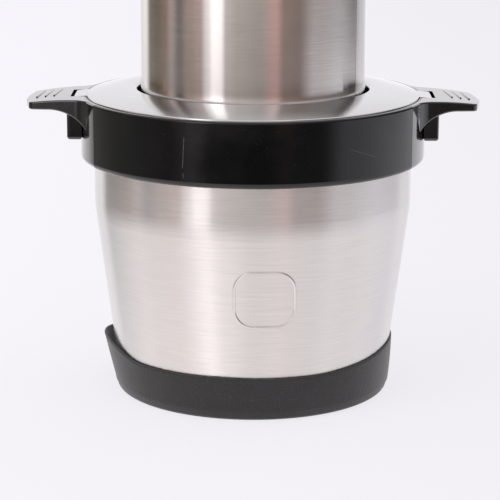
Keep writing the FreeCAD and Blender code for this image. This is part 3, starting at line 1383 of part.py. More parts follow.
def blade_hub():
    """Turned hub: bore for the post, seat for the blades, stem and hexagon head."""
    seat = hub_core(0, HUB_Z, SHOULDER_Z + MELD)
    cone_z = SHOULDER_Z + HUB_SHOULDER_H
    upper = revolved([(0, SHOULDER_Z, 0), (HUB_SHOULDER_R, SHOULDER_Z, 0),
                      (HUB_SHOULDER_R, cone_z, HUB_SHOULDER_BEND_R), (HUB_STEM_R, STEM_Z, HUB_CONE_BEND_R),
                      (HUB_STEM_R, HEX_Z, 0), (0, HEX_Z, 0)])
    hexa = hexagon(HEX_FLATS, HEX_Z - MELD, HEX_TOP)
    low = HEX_Z - OVER
    lead_in = revolved([(0, low, 0), (HEX_FLATS, low, 0), (HEX_FLATS, HEX_TOP - HEX_LEAD_IN, 0),
                        (HEX_FLATS / 2, HEX_TOP, 0), (0, HEX_TOP, 0)])
    bore = rod(POST_R + RUN_FIT, HUB_Z - OVER, POST_TOP + OVER)
    return fused(seat, upper, hexa.common(lead_in)).cut(bore)


def blade_front(reach, z):
    """Bulging front edge of an arm, from its root to its tip."""
    root = V(0, -BLADE_ROOT_HALF, z)
    along, out = BLADE_BELLY
    belly = V(reach * along, -BLADE_ROOT_HALF - BLADE_SWEEP * out, z)
    return Part.Arc(root, belly, V(reach, BLADE_SWEEP - BLADE_TIP_HALF, z)).toShape()


def blade_arm(reach, z0, z1):
    """One swept arm seen from above, its front edge bulging and its back edge hollow."""
    front = blade_front(reach, z0)
    root, tip = [vertex.Point for vertex in front.Vertexes]
    back_tip = V(reach - BLADE_TIP_LEAN, BLADE_SWEEP + BLADE_TIP_HALF, z0)
    along, out = BLADE_HOLLOW
    hollow = V(reach * along, BLADE_SWEEP * out, z0)
    back_root = V(0, BLADE_ROOT_HALF, z0)
    wire = Part.Wire([front, Part.LineSegment(tip, back_tip).toShape(),
                      Part.Arc(back_tip, hollow, back_root).toShape(),
                      Part.LineSegment(back_root, root).toShape()])
    return Part.Face(wire).extrude(V(0, 0, z1 - z0))


def bevel_cutter(reach, z0):
    """Wedge along the front edge of a flat arm that grinds it to an edge."""
    front = blade_front(reach, 0).Curve
    centre = front.Center
    r = front.Radius
    slope = (BLADE_T - BLADE_EDGE_T) / BLADE_BEVEL
    past = 2 * OVER
    top = z0 + BLADE_T
    inner = r - BLADE_BEVEL
    wedge = revolved([(inner, top, 0), (r + past, top - (BLADE_BEVEL + past) * slope, 0),
                      (r + past, top + past, 0), (inner, top + past, 0)])
    wedge.translate(V(centre.x, centre.y, 0))
    clear = BLADE_FLAT_R + BLADE_BEVEL_START
    keep = block(clear, reach + FAR, -reach, reach, z0 - OVER, top + past + OVER)
    return wedge.common(keep)


def lower_blade():
    """Flat two armed blade close to the bowl floor, ground along its leading edges."""
    arm = blade_arm(BLADE_REACH, BLADE_Z, SPACER_Z).cut(bevel_cutter(BLADE_REACH, BLADE_Z))
    disc = rod(BLADE_ROOT_HALF + BLADE_DISC_RIM, BLADE_Z, SPACER_Z)
    blade = fused(disc, arm, turned(arm, 180))
    return blade.cut(hub_core(SNUG, BLADE_Z - OVER, SPACER_Z + OVER))


def bent_strip():
    """Side view of the upper blade: flat in the middle, rising to both tips."""
    rise = math.tan(math.radians(BLADE_RISE_DEG))
    x = BLADE_FLAT_R
    far = UPPER_REACH + UPPER_STRIP_SPARE
    z = UPPER_BLADE_Z
    up = (far - x) * rise
    chain = [(-far, z + up, 0), (-x, z, BLADE_BEND_R), (x, z, BLADE_BEND_R), (far, z + up, 0)]
    face = outline(sheet_section(chain, BLADE_T), in_section)
    strip = face.extrude(V(0, 2 * UPPER_REACH, 0))
    strip.translate(V(0, -UPPER_REACH, 0))
    return strip


def upper_blade():
    """Two armed blade above the spacer, its arms bent up and turned across the lower one."""
    top = UPPER_BLADE_Z + UPPER_REACH
    low = UPPER_BLADE_Z - OVER
    arm = blade_arm(UPPER_REACH, low, top)
    disc = rod(BLADE_ROOT_HALF + BLADE_DISC_RIM, low, top)
    plan = fused(disc, arm, turned(arm, 180))
    blade = turned(plan.common(bent_strip()), 90)
    return blade.cut(hub_core(SNUG, low, top + OVER))


def blade_spacer():
    body = rod(SPACER_R, SPACER_Z, UPPER_BLADE_Z)
    return body.cut(hub_core(SNUG, SPACER_Z - OVER, UPPER_BLADE_Z + OVER))


def blade_nut():
    """Round nut under the blades with two spanner flats."""
    body = revolved([(0, HUB_Z, 0), (NUT_R, HUB_Z, 0), (NUT_R, BLADE_Z, 0), (0, BLADE_Z, 0)])
    low = HUB_Z - OVER
    high = BLADE_Z + OVER
    flat = block(NUT_R - NUT_FLAT, NUT_R + OVER, -NUT_R, NUT_R, low, high)
    return body.cut([hub_core(SNUG, low, high), flat, mirrored(flat)])


# Every piece in its own file


def main():
    os.makedirs("parts", exist_ok=True)
    save("base_boot", base_boot())
    save("bowl", bowl())
    save("bowl_post", bowl_post())
    save("thrust_washer", thrust_washer())
    save("collar_ring", collar_ring())
    right = handle_right()
    save("handle_right", right)
    save("handle_left", mirrored(right))
    save("handle_screws", *[handle_screw(z, turn) for z, turn in handle_screw_places()])
    save("lid_cover", lid_cover())
    save("lid_base", lid_base())
    save("lid_seal", lid_seal())
    save("motor_housing", motor_housing())
    save("top_cap", top_cap())
    push = button()
    save("button_high", push)
    save("button_low", mirrored(push))
    spring = button_spring()
    save("button_high_spring", spring)
    save("button_low_spring", mirrored(spring))
    save("switch_block", switch_block())
    save("switch_plate", switch_plate())
    save("cord_gland", cord_gland())
    screw = cap_screw()
    save("cap_screws", screw, screw.mirror(ORIGIN, ALONG_Y))
    save("gearbox_housing", gearbox_housing())
    save("gearbox_cover", gearbox_cover())
    save("gearbox_screws", *around(gearbox_screw(), GEARBOX_SCREWS, GEARBOX_SCREW_DEG))
    save("sun_pinion", sun_pinion())
    for i in range(PLANETS):
        save("planet_gear_" + str(i + 1), planet_gear(i))
    save("planet_carrier", planet_carrier())
    save("output_bush", output_bush())
    save("shaft_seal", shaft_seal())
    save("drive_coupler", drive_coupler())
    save("lower_bracket", lower_bracket())
    save("lower_bearing", bearing(LOWER_BEARING_Z))
    save("stator_core", stator_core())
    coil = field_coil()
    save("field_coils", coil, coil.mirror(ORIGIN, ALONG_Y))
    save("armature_shaft", armature_shaft())
    save("armature_core", armature_core())
    save("armature_windings", armature_winding(STATOR_Z - WINDING_H, STATOR_Z - WINDING_GAP),
         armature_winding(STATOR_TOP + WINDING_GAP, STATOR_TOP + WINDING_H))
    save("commutator", commutator())
    save("cooling_fan", cooling_fan())
    save("upper_bracket", upper_bracket())
    save("upper_bearing", bearing(UPPER_BEARING_Z))
    holder = brush_holder()
    save("brush_holders", holder, mirrored(holder))
    carbon = brush()
    save("carbon_brushes", carbon, mirrored(carbon))
    save("motor_bolts", *at_pillars(motor_bolt()))
    save("blade_hub", blade_hub())
    save("lower_blade", lower_blade())
    save("blade_spacer", blade_spacer())
    save("upper_blade", upper_blade())
    save("blade_nut", blade_nut())


main()
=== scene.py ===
"""Looks of the yam pounder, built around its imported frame.

Metres, +Z up, origin on the table under the middle of the bowl, +X along the wing handles.
"""

from __future__ import annotations

import logging
import math
from dataclasses import dataclass
from enum import Enum

import bmesh
import bpy
from mathutils import Matrix, Vector
from mathutils.bvhtree import BVHTree

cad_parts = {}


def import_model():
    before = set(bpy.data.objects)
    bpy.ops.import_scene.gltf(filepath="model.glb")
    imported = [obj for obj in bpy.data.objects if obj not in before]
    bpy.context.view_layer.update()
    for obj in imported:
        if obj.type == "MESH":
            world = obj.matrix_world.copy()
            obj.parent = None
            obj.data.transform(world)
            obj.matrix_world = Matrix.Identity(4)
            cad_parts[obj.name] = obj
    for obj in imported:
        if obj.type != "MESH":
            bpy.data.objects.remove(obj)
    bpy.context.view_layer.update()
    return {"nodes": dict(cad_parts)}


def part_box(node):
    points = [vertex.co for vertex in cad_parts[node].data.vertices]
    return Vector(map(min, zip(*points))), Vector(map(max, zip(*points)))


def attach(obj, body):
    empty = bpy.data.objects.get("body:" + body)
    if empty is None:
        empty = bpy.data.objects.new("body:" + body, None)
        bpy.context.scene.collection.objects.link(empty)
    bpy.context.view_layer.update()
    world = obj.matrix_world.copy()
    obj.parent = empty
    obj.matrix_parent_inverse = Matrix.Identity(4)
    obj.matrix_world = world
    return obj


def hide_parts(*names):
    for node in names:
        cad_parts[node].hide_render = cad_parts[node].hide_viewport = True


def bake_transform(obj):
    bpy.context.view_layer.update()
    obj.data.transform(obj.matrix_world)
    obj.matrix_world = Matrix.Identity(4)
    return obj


LOG = logging.getLogger("pounder")
MM = 0.001
QUARTER_TURN, HALF_TURN, FULL_TURN = 90.0, 180.0, 360.0

# A noise texture's strength lies mostly between these two, and these are its levels of detail.
NOISE_LOW, NOISE_HIGH = 0.3, 0.7
SIMPLE, USUAL, FINE = 1.0, 2.0, 3.0
# The Mix node names its sockets alike for every type, so its colour sockets go by number.
MIX_AMOUNT, MIX_FIRST, MIX_SECOND, MIX_RESULT = 0, 6, 7, 2
# Edges sharper than this stay sharp, on turned shells and on what follows a path.
TURNED_CREASE_DEG = 50.0
PATH_CREASE_DEG = 35.0
MERGE_DIST = 1e-6
ARC_STEPS = 4
# Where the front lies on a ramp that runs once round the studio.
RAMP_FRONT = 0.5

Colour = tuple[float, float, float]
Bands = tuple[tuple[float, Colour], ...]
Section = list[tuple[float, float]]
Faces = list[tuple[int, ...]]
Piece = bpy.types.Object
Socket = bpy.types.NodeSocket


class Grain(Enum):
    """Which way a steel was brushed."""

    AROUND = "around"
    LENGTHWISE = "lengthwise"


def rgba(colour: Colour) -> tuple[float, float, float, float]:
    """A colour with its alpha of 1."""
    return (*colour, 1.0)


def brighter(colour: Colour, by: float) -> Colour:
    """A colour multiplied by a number."""
    return tuple(min(channel * by, 1.0) for channel in colour)


def turn_between(degrees: float, other: float) -> float:
    """The signed turn from one angle to another, at most half a turn."""
    return (degrees - other + HALF_TURN) % FULL_TURN - HALF_TURN


# Node trees


class Tree:
    """A node tree, with short calls to add nodes and join sockets."""

    def __init__(self, tree: bpy.types.NodeTree) -> None:
        """Empties the tree that is to be filled."""
        self.tree = tree
        tree.nodes.clear()

    def add(self, kind: str, settings: dict[str, object] | None = None,
            **inputs: object) -> bpy.types.Node:
        """Adds a node.

        Args:
            kind: The node's type name.
            settings: Properties of the node itself.
            inputs: Values or sockets by input name, with _ for a space.

        Returns:
            The new node.
        """
        node = self.tree.nodes.new(kind)
        for name, value in (settings or {}).items():
            setattr(node, name, value)
        for name, value in inputs.items():
            self.put(node.inputs[name.replace("_", " ")], value)
        return node

    def put(self, socket: Socket, value: object) -> None:
        """Joins a socket to another one, or sets its value.

        Args:
            socket: The input.
            value: Another node's output, or a plain value.
        """
        if isinstance(value, Socket):
            self.tree.links.new(value, socket)
        else:
            socket.default_value = value

    def maths(self, operation: str, *values: object) -> Socket:
        """Adds a Math node.

        Args:
            operation: The node's operation.
            values: Its numbers or sockets, as many as the operation takes.

        Returns:
            Its result.
        """
        node = self.add("ShaderNodeMath", {"operation": operation})
        for socket, value in zip(node.inputs, values):
            self.put(socket, value)
        return node.outputs[0]

    def plus(self, a: object, b: object) -> Socket:
        """The sum of two numbers or sockets."""
        return self.maths("ADD", a, b)

    def times(self, a: object, b: object) -> Socket:
        """The product of two numbers or sockets."""
        return self.maths("MULTIPLY", a, b)

    def join_xyz(self, x: object, y: object, z: object) -> Socket:
        """Puts three numbers into one vector."""
        return self.add("ShaderNodeCombineXYZ", X=x, Y=y, Z=z).outputs[0]

    def split_xyz(self, vector: Socket) -> tuple[Socket, Socket, Socket]:
        """Takes a vector apart into its three numbers."""
        return tuple(self.add("ShaderNodeSeparateXYZ", Vector=vector).outputs)


class Graph(Tree):
    """A shader or world tree."""

    def place(self) -> Socket:
        """The point on the object, in metres."""
        return self.add("ShaderNodeTexCoord").outputs["Object"]

    def noise(self, vector: Socket, scale: float, detail: float = USUAL) -> Socket:
        """Adds a noise texture on a vector and returns its strength."""
        return self.add("ShaderNodeTexNoise", Vector=vector, Scale=scale, Detail=detail).outputs["Fac"]

    def span(self, value: Socket, low: float, high: float, to_low: float = 0.0,
             to_high: float = 1.0) -> Socket:
        """Maps a range onto another one, held at its ends.

        Args:
            value: The number to map.
            low: Start of its range.
            high: End of its range.
            to_low: What the start becomes.
            to_high: What the end becomes.

        Returns:
            The mapped number.
        """
        return self.add("ShaderNodeMapRange", {"clamp": True}, Value=value, From_Min=low, From_Max=high,
                        To_Min=to_low, To_Max=to_high).outputs["Result"]

    def spread(self, noise: Socket, to_low: float = 0.0, to_high: float = 1.0) -> Socket:
        """Maps the usual strengths of a noise onto a range."""
        return self.span(noise, NOISE_LOW, NOISE_HIGH, to_low, to_high)

    def blend(self, amount: Socket, a: Socket | Colour, b: Socket | Colour) -> Socket:
        """Mixes two colours.

        Args:
            amount: Share of the second colour.
            a: First colour.
            b: Second colour.

        Returns:
            The mixed colour.
        """
        node = self.add("ShaderNodeMix", {"data_type": "RGBA"})
        self.put(node.inputs[MIX_AMOUNT], amount)
        for place, value in ((MIX_FIRST, a), (MIX_SECOND, b)):
            self.put(node.inputs[place], value if isinstance(value, Socket) else rgba(value))
        return node.outputs[MIX_RESULT]

    def ramp(self, value: Socket, stops: Bands) -> Socket:
        """Adds a colour ramp that eases from stop to stop.

        Args:
            value: Where on the ramp to read, from 0 to 1.
            stops: The place and colour of each stop.

        Returns:
            The ramp's colour.
        """
        node = self.add("ShaderNodeValToRGB", Fac=value)
        node.color_ramp.interpolation = "EASE"
        elements = node.color_ramp.elements
        while len(elements) > 1:
            elements.remove(elements[-1])
        for i, (place, colour) in enumerate(stops):
            stop = elements[0] if i == 0 else elements.new(place)
            stop.position = place
            stop.color = rgba(colour)
        return node.outputs[0]

    def bump(self, height: Socket, depth: float) -> Socket:
        """Adds a bump of a real depth in metres and returns its normal."""
        return self.add("ShaderNodeBump", Strength=1.0, Distance=depth, Height=height).outputs[0]

    def principled(self, colour: Socket, rough: Socket | float, normal: Socket,
                   metallic: float = 0.0) -> bpy.types.Node:
        """Adds the shader of every finish.

        Args:
            colour: Base colour.
            rough: Roughness.
            normal: Normal.
            metallic: 1 for metal, 0 for plastic.

        Returns:
            The shader's node.
        """
        return self.add("ShaderNodeBsdfPrincipled", Base_Color=colour, Roughness=rough, Normal=normal,
                        Metallic=metallic)


# Finishes


@dataclass(frozen=True)
class Finish:
    """What every finish has: a name and a base colour."""

    name: str
    colour: Colour

    def material(self) -> bpy.types.Material:
        """Makes the material once, under a name that the frame's plain ones don't have.

        Returns:
            The material.
        """
        title = f"{self.name}_finish"
        material = bpy.data.materials.get(title)
        if material is None:
            material = bpy.data.materials.new(title)
            material.use_nodes = True
            graph = Graph(material.node_tree)
            graph.add("ShaderNodeOutputMaterial", Surface=self.surface(graph))
        return material

    def surface(self, graph: Graph) -> Socket:
        """Builds the surface; each finish has its own."""
        raise NotImplementedError

    def shaded(self, graph: Graph, amount: Socket, dark: float, light: float) -> Socket:
        """The base colour between a darker and a brighter one."""
        return graph.blend(amount, brighter(self.colour, dark), brighter(self.colour, light))


@dataclass(frozen=True)
class BrushedSteel(Finish):
    """Stainless steel with fine hairlines, smudges and a stretched highlight."""

    roughness: float = 0.27
    stretch: float = 0.78
    stretch_turn: float = 0.25
    grain: Grain = Grain.AROUND
    line: float = 0.9 * MM
    line_length: float = 16 * MM
    line_depth: float = 0.0012 * MM
    line_shade: float = 0.05
    hair_scale: float = 3.1
    hair_share: float = 0.5
    hair_rough: float = 0.01
    smudge: float = 0.04
    smudge_scale: float = 18.0
    smudge_from: float = 0.35
    smudge_less_rough: float = 0.01
    smudge_more_rough: float = 0.015

    def grain_vector(self, graph: Graph, point: Socket) -> Socket:
        """A vector that changes fast across the hairlines and slowly along them.

        Args:
            graph: The tree to add to.
            point: The place on the object.

        Returns:
            The stretched vector.
        """
        x, y, z = graph.split_xyz(point)
        along = 1.0 / self.line_length
        across = 1.0 / self.line
        if self.grain is Grain.LENGTHWISE:
            return graph.join_xyz(graph.times(x, along), graph.times(y, across), graph.times(z, across))
        reach = graph.maths("SQRT", graph.plus(graph.times(x, x), graph.times(y, y)))
        return graph.join_xyz(graph.times(x, along), graph.times(y, along),
                              graph.times(graph.plus(z, reach), across))

    def surface(self, graph: Graph) -> Socket:
        """Hairlines in colour, roughness and height over a stretched metal highlight.

        Args:
            graph: The material's tree.

        Returns:
            The shader.
        """
        point = graph.place()
        vector = self.grain_vector(graph, point)
        lines = graph.noise(vector, 1.0, FINE)
        hair = graph.noise(vector, self.hair_scale)
        cloud = graph.noise(point, self.smudge_scale, FINE)
        shade = graph.plus(graph.spread(lines, -self.line_shade, self.line_shade),
                           graph.spread(cloud, -self.smudge / 2, self.smudge / 2))
        tint = graph.add("ShaderNodeVectorMath", {"operation": "SCALE"}, Scale=graph.plus(shade, 1.0))
        tint.inputs[0].default_value = self.colour
        smeared = graph.span(cloud, self.smudge_from, NOISE_HIGH, self.roughness - self.smudge_less_rough,
                             self.roughness + self.smudge_more_rough)
        rough = graph.plus(graph.spread(hair, -self.hair_rough, self.hair_rough), smeared)
        height = graph.plus(lines, graph.times(hair, self.hair_share))
        shader = graph.principled(tint.outputs[0], rough, graph.bump(height, self.line_depth), 1.0)
        shader.inputs["Anisotropic"].default_value = self.stretch
        if self.grain is Grain.AROUND:
            shader.inputs["Anisotropic Rotation"].default_value = self.stretch_turn
            tangent = graph.add("ShaderNodeTangent", {"direction_type": "RADIAL", "axis": "Z"})
            graph.put(shader.inputs["Tangent"], tangent.outputs[0])
        return shader.outputs[0]


@dataclass(frozen=True)
class PlainMetal(Finish):
    """Turned, cast, plated or drawn metal without a brushed direction."""

    roughness: float = 0.3
    pore: float = 0.7 * MM
    pore_depth: float = 0.01 * MM
    mottle: float = 0.08
    stain_scale: float = 60.0
    less_rough: float = 0.05
    more_rough: float = 0.07

    def surface(self, graph: Graph) -> Socket:
        """Speckled colour and roughness over a lightly pitted surface.

        Args:
            graph: The material's tree.

        Returns:
            The shader.
        """
        point = graph.place()
        speck = graph.noise(point, 1.0 / self.pore, FINE)
        stain = graph.noise(point, self.stain_scale)
        tint = self.shaded(graph, graph.spread(speck), 1 - self.mottle, 1 + self.mottle)
        rough = graph.spread(stain, self.roughness - self.less_rough, self.roughness + self.more_rough)
        return graph.principled(tint, rough, graph.bump(speck, self.pore_depth), 1.0).outputs[0]


@dataclass(frozen=True)
class Scratch:
    """One light scratch on an upright wall, by its ends as seen from the front."""

    x0: float
    z0: float
    x1: float
    z1: float
    width: float = 0.35 * MM
    solid: float = 0.6
    faded: float = 1.3


@dataclass(frozen=True)
class GlossPlastic(Finish):
    """Black moulded plastic: glossy, with faint flow clouds, dust specks and scratches."""

    roughness: float = 0.12
    less_rough: float = 0.03
    more_rough: float = 0.05
    cloud_scale: float = 45.0
    shine: float = 0.5
    coat: float = 0.0
    coat_roughness: float = 0.06
    ripple: float = 0.02 * MM
    ripple_scale: float = 130.0
    dust: Colour = (0.22, 0.21, 0.21)
    dust_scale: float = 900.0
    dust_from: float = 0.70
    dust_to: float = 0.76
    dust_share: float = 0.08
    scratches: tuple[Scratch, ...] = ()
    scratch: Colour = (0.24, 0.24, 0.24)
    scratch_share: float = 0.4
    scratch_rough: float = 0.4
    scratch_waver: float = 320.0

    def scratch_mask(self, graph: Graph, point: Socket) -> Socket:
        """How strongly a point lies on one of the scratches, from 0 to 1.

        Args:
            graph: The tree to add to.
            point: The place on the object.

        Returns:
            The mask.
        """
        x, y, z = graph.split_xyz(point)
        front = graph.maths("LESS_THAN", y, 0.0)
        wobble = graph.noise(point, self.scratch_waver)
        total: Socket | float = 0.0
        for mark in self.scratches:
            dx = mark.x1 - mark.x0
            dz = mark.z1 - mark.z0
            length = math.hypot(dx, dz)
            px = graph.maths("SUBTRACT", x, mark.x0)
            pz = graph.maths("SUBTRACT", z, mark.z0)
            along = graph.plus(graph.times(px, dx / length), graph.times(pz, dz / length))
            off = graph.plus(graph.times(px, -dz / length), graph.times(pz, dx / length))
            off = graph.plus(graph.maths("ABSOLUTE", off), graph.times(wobble, mark.width))
            near = graph.span(off, mark.width * mark.solid, mark.width * mark.faded, 1.0, 0.0)
            inside = graph.times(graph.maths("GREATER_THAN", along, 0.0),
                                 graph.maths("LESS_THAN", along, length))
            total = graph.maths("MAXIMUM", total, graph.times(near, inside))
        return graph.times(total, front)

    def surface(self, graph: Graph) -> Socket:
        """Gloss with uneven roughness and a very shallow ripple.

        Args:
            graph: The material's tree.

        Returns:
            The shader.
        """
        point = graph.place()
        cloud = graph.noise(point, self.cloud_scale, FINE)
        dust = graph.span(graph.noise(point, self.dust_scale, SIMPLE), self.dust_from, self.dust_to)
        worn = self.scratch_mask(graph, point)
        tint = graph.blend(graph.times(dust, self.dust_share), self.colour, self.dust)
        tint = graph.blend(graph.times(worn, self.scratch_share), tint, self.scratch)
        rough = graph.spread(cloud, self.roughness - self.less_rough, self.roughness + self.more_rough)
        rough = graph.plus(rough, graph.times(worn, self.scratch_rough))
        ripple = graph.bump(graph.noise(point, self.ripple_scale, SIMPLE), self.ripple)
        shader = graph.principled(tint, rough, ripple)
        shader.inputs["Specular IOR Level"].default_value = self.shine
        shader.inputs["Coat Weight"].default_value = self.coat
        shader.inputs["Coat Roughness"].default_value = self.coat_roughness
        return shader.outputs[0]


@dataclass(frozen=True)
class MouldedPlastic(Finish):
    """Satin or matte plastic with a fine spark texture."""

    roughness: float = 0.45
    rough_spread: float = 0.06
    spark: float = 0.4 * MM
    spark_depth: float = 0.02 * MM
    mottle: float = 0.08
    cloud_scale: float = 40.0

    def surface(self, graph: Graph) -> Socket:
        """Fine texture in height and roughness and a slight change of colour.

        Args:
            graph: The material's tree.

        Returns:
            The shader.
        """
        point = graph.place()
        spark = graph.noise(point, 1.0 / self.spark)
        cloud = graph.noise(point, self.cloud_scale, FINE)
        tint = self.shaded(graph, graph.spread(cloud), 1 - self.mottle, 1 + self.mottle)
        rough = graph.spread(spark, self.roughness - self.rough_spread, self.roughness + self.rough_spread)
        return graph.principled(tint, rough, graph.bump(spark, self.spark_depth)).outputs[0]


@dataclass(frozen=True)
class SoftRubber(Finish):
    """Charcoal rubber: matte, with a bloom of dust and a fine grain."""

    roughness: float = 0.62
    less_rough: float = 0.06
    more_rough: float = 0.08
    sheen: float = 0.25
    sheen_roughness: float = 0.5
    dust: Colour = (0.30, 0.29, 0.29)
    dust_scale: float = 1100.0
    dust_from: float = 0.68
    dust_to: float = 0.75
    dust_share: float = 0.25
    grain: float = 1.5 * MM
    grain_depth: float = 0.24 * MM
    grain_share: float = 0.6
    cloud_scale: float = 28.0
    cloud_share: float = 0.4
    shade_from: float = 0.38
    shade_to: float = 0.62
    dark: float = 0.55
    light: float = 1.5

    def surface(self, graph: Graph) -> Socket:
        """Mottled base with pale specks and grain, and a soft sheen at the edges.

        Args:
            graph: The material's tree.

        Returns:
            The shader.
        """
        point = graph.place()
        grain = graph.noise(point, 1.0 / self.grain)
        cloud = graph.noise(point, self.cloud_scale, FINE)
        dust = graph.span(graph.noise(point, self.dust_scale, SIMPLE), self.dust_from, self.dust_to)
        both = graph.plus(graph.times(cloud, self.cloud_share), graph.times(grain, self.grain_share))
        tint = self.shaded(graph, graph.span(both, self.shade_from, self.shade_to), self.dark, self.light)
        tint = graph.blend(graph.times(dust, self.dust_share), tint, self.dust)
        rough = graph.spread(grain, self.roughness - self.less_rough, self.roughness + self.more_rough)
        shader = graph.principled(tint, rough, graph.bump(grain, self.grain_depth))
        shader.inputs["Sheen Weight"].default_value = self.sheen
        shader.inputs["Sheen Roughness"].default_value = self.sheen_roughness
        return shader.outputs[0]


@dataclass(frozen=True)
class StackedSheets(Finish):
    """Stamped iron sheets: fine level lines with oil between them."""

    sheet: float = 0.5 * MM
    sheet_depth: float = 0.05 * MM
    roughness: float = 0.42
    metallic: float = 0.85
    stain_scale: float = 90.0
    stain: float = 0.6
    dark: float = 0.45

    def surface(self, graph: Graph) -> Socket:
        """Level lines in colour and height.

        Args:
            graph: The material's tree.

        Returns:
            The shader.
        """
        point = graph.place()
        height = graph.split_xyz(point)[2]
        wave = graph.maths("ABSOLUTE", graph.maths("SINE", graph.times(height, math.pi / self.sheet)))
        stain = graph.spread(graph.noise(point, self.stain_scale, FINE), self.stain)
        tint = self.shaded(graph, graph.times(wave, stain), self.dark, 1.0)
        bump = graph.bump(wave, self.sheet_depth)
        return graph.principled(tint, self.roughness, bump, self.metallic).outputs[0]


@dataclass(frozen=True)
class WoundWire(Finish):
    """Enamelled copper wire laid side by side."""

    wire: float = 0.8 * MM
    wire_depth: float = 0.25 * MM
    waver_scale: float = 120.0
    roughness: float = 0.3
    metallic: float = 0.75
    # How dark the painted shade in the grooves between the wires is.
    dark: float = 0.35

    def surface(self, graph: Graph) -> Socket:
        """Round ridges of wire, wavering a little, with painted shade in the grooves between them.

        Args:
            graph: The material's tree.

        Returns:
            The shader.
        """
        point = graph.place()
        _, y, z = graph.split_xyz(point)
        waver = graph.times(graph.noise(point, self.waver_scale), self.wire)
        level = graph.plus(graph.plus(y, z), waver)
        ridge = graph.maths("ABSOLUTE", graph.maths("SINE", graph.times(level, math.pi / self.wire)))
        # Painted shade: the colour darkens where the wires meet, in the grooves between them.
        tint = self.shaded(graph, ridge, self.dark, 1.0)
        bump = graph.bump(ridge, self.wire_depth)
        return graph.principled(tint, self.roughness, bump, self.metallic).outputs[0]


FRONT_SCRATCHES = (
    Scratch(-46.5 * MM, 205.0 * MM, -47.6 * MM, 184.0 * MM),
    Scratch(-47.2 * MM, 180.5 * MM, -47.0 * MM, 177.0 * MM, 0.25 * MM),
    Scratch(66.5 * MM, 195.5 * MM, 85.0 * MM, 188.0 * MM, 0.25 * MM),
)
BOOT_RUBBER = SoftRubber("boot_rubber", (0.0155, 0.0148, 0.0165), roughness=0.66, sheen=0.42)
BOWL_STEEL = BrushedSteel("bowl_steel", (0.735, 0.715, 0.712), roughness=0.21, stretch=1.0, line=0.5 * MM,
                          line_length=24 * MM, line_depth=0.0006 * MM, line_shade=0.04)
COVER_STEEL = BrushedSteel("cover_steel", (0.668, 0.662, 0.672), roughness=0.15, stretch=0.6, line=0.6 * MM,
                           line_length=60 * MM, line_shade=0.025, line_depth=0.0004 * MM)
HOUSING_STEEL = BrushedSteel("housing_steel", (0.72, 0.70, 0.69), roughness=0.125, stretch=1.0,
                             line=0.6 * MM, line_length=26 * MM, line_shade=0.05, line_depth=0.0005 * MM)
BLADE_STEEL = BrushedSteel("blade_steel", (0.70, 0.70, 0.71), roughness=0.3, stretch=0.4,
                           grain=Grain.LENGTHWISE, line=0.4 * MM, line_length=9 * MM)
TURNED_STEEL = BrushedSteel("turned_steel", (0.66, 0.66, 0.66), roughness=0.25, stretch=0.5, line=0.3 * MM,
                            line_length=30 * MM)
COLLAR_PLASTIC = GlossPlastic("collar_plastic", (0.003, 0.003, 0.0032), roughness=0.09,
                              scratches=FRONT_SCRATCHES)
HANDLE_PLASTIC = GlossPlastic("handle_plastic", (0.003, 0.003, 0.0032), roughness=0.12, coat=1.0,
                              coat_roughness=0.10)
CAP_PLASTIC = GlossPlastic("cap_plastic", (0.004, 0.004, 0.0045), roughness=0.12)
BUTTON_PLASTIC = MouldedPlastic("button_plastic", (0.035, 0.035, 0.038), roughness=0.36)
LID_PLASTIC = MouldedPlastic("lid_plastic", (0.02, 0.02, 0.022), roughness=0.42)
INNER_PLASTIC = MouldedPlastic("inner_plastic", (0.48, 0.46, 0.41), roughness=0.5)
NYLON = MouldedPlastic("gear_nylon", (0.78, 0.76, 0.69), roughness=0.4)
SEAL_RUBBER = SoftRubber("seal_rubber", (0.62, 0.62, 0.60), roughness=0.4, sheen=0.1, dust=(0.8, 0.8, 0.78))
GLAND_RUBBER = SoftRubber("gland_rubber", (0.018, 0.018, 0.018), dust=(0.12, 0.12, 0.12))
SCREW_STEEL = PlainMetal("screw_steel", (0.62, 0.62, 0.64), roughness=0.24)
SPRING_STEEL = PlainMetal("spring_steel", (0.60, 0.60, 0.62), roughness=0.2)
CAST_ALLOY = PlainMetal("gearbox_alloy", (0.60, 0.60, 0.61), roughness=0.45, pore_depth=0.04 * MM,
                        mottle=0.14)
GEAR_STEEL = PlainMetal("gear_steel", (0.42, 0.42, 0.44), roughness=0.28)
BRONZE = PlainMetal("bronze", (0.62, 0.42, 0.2), roughness=0.36, pore_depth=0.03 * MM, mottle=0.16)
CORE_IRON = StackedSheets("core_iron", (0.30, 0.30, 0.31))
COPPER = WoundWire("copper", (0.62, 0.27, 0.12))
CARBON = MouldedPlastic("carbon", (0.03, 0.03, 0.03), roughness=0.6, spark=0.2 * MM)


# Meshes


def set_down(name: str, data: bpy.types.ID) -> Piece:
    """Makes an object at the origin and adds it to the scene.

    Args:
        name: Its name.
        data: The mesh, lamp or camera that it holds.

    Returns:
        The new object.
    """
    thing = bpy.data.objects.new(name, data)
    bpy.context.scene.collection.objects.link(thing)
    return thing


def soften(mesh: bpy.types.Mesh, crease_deg: float) -> None:
    """Shades a mesh smooth apart from the edges that are sharper than its crease."""
    mesh.shade_smooth()
    mesh.set_sharp_from_angle(angle=math.radians(crease_deg))


def turned(section: Section, angle: float) -> list[Vector]:
    """A section of radii and heights, turned about Z by an angle in radians."""
    return [Vector((r * math.cos(angle), r * math.sin(angle), z)) for r, z in section]


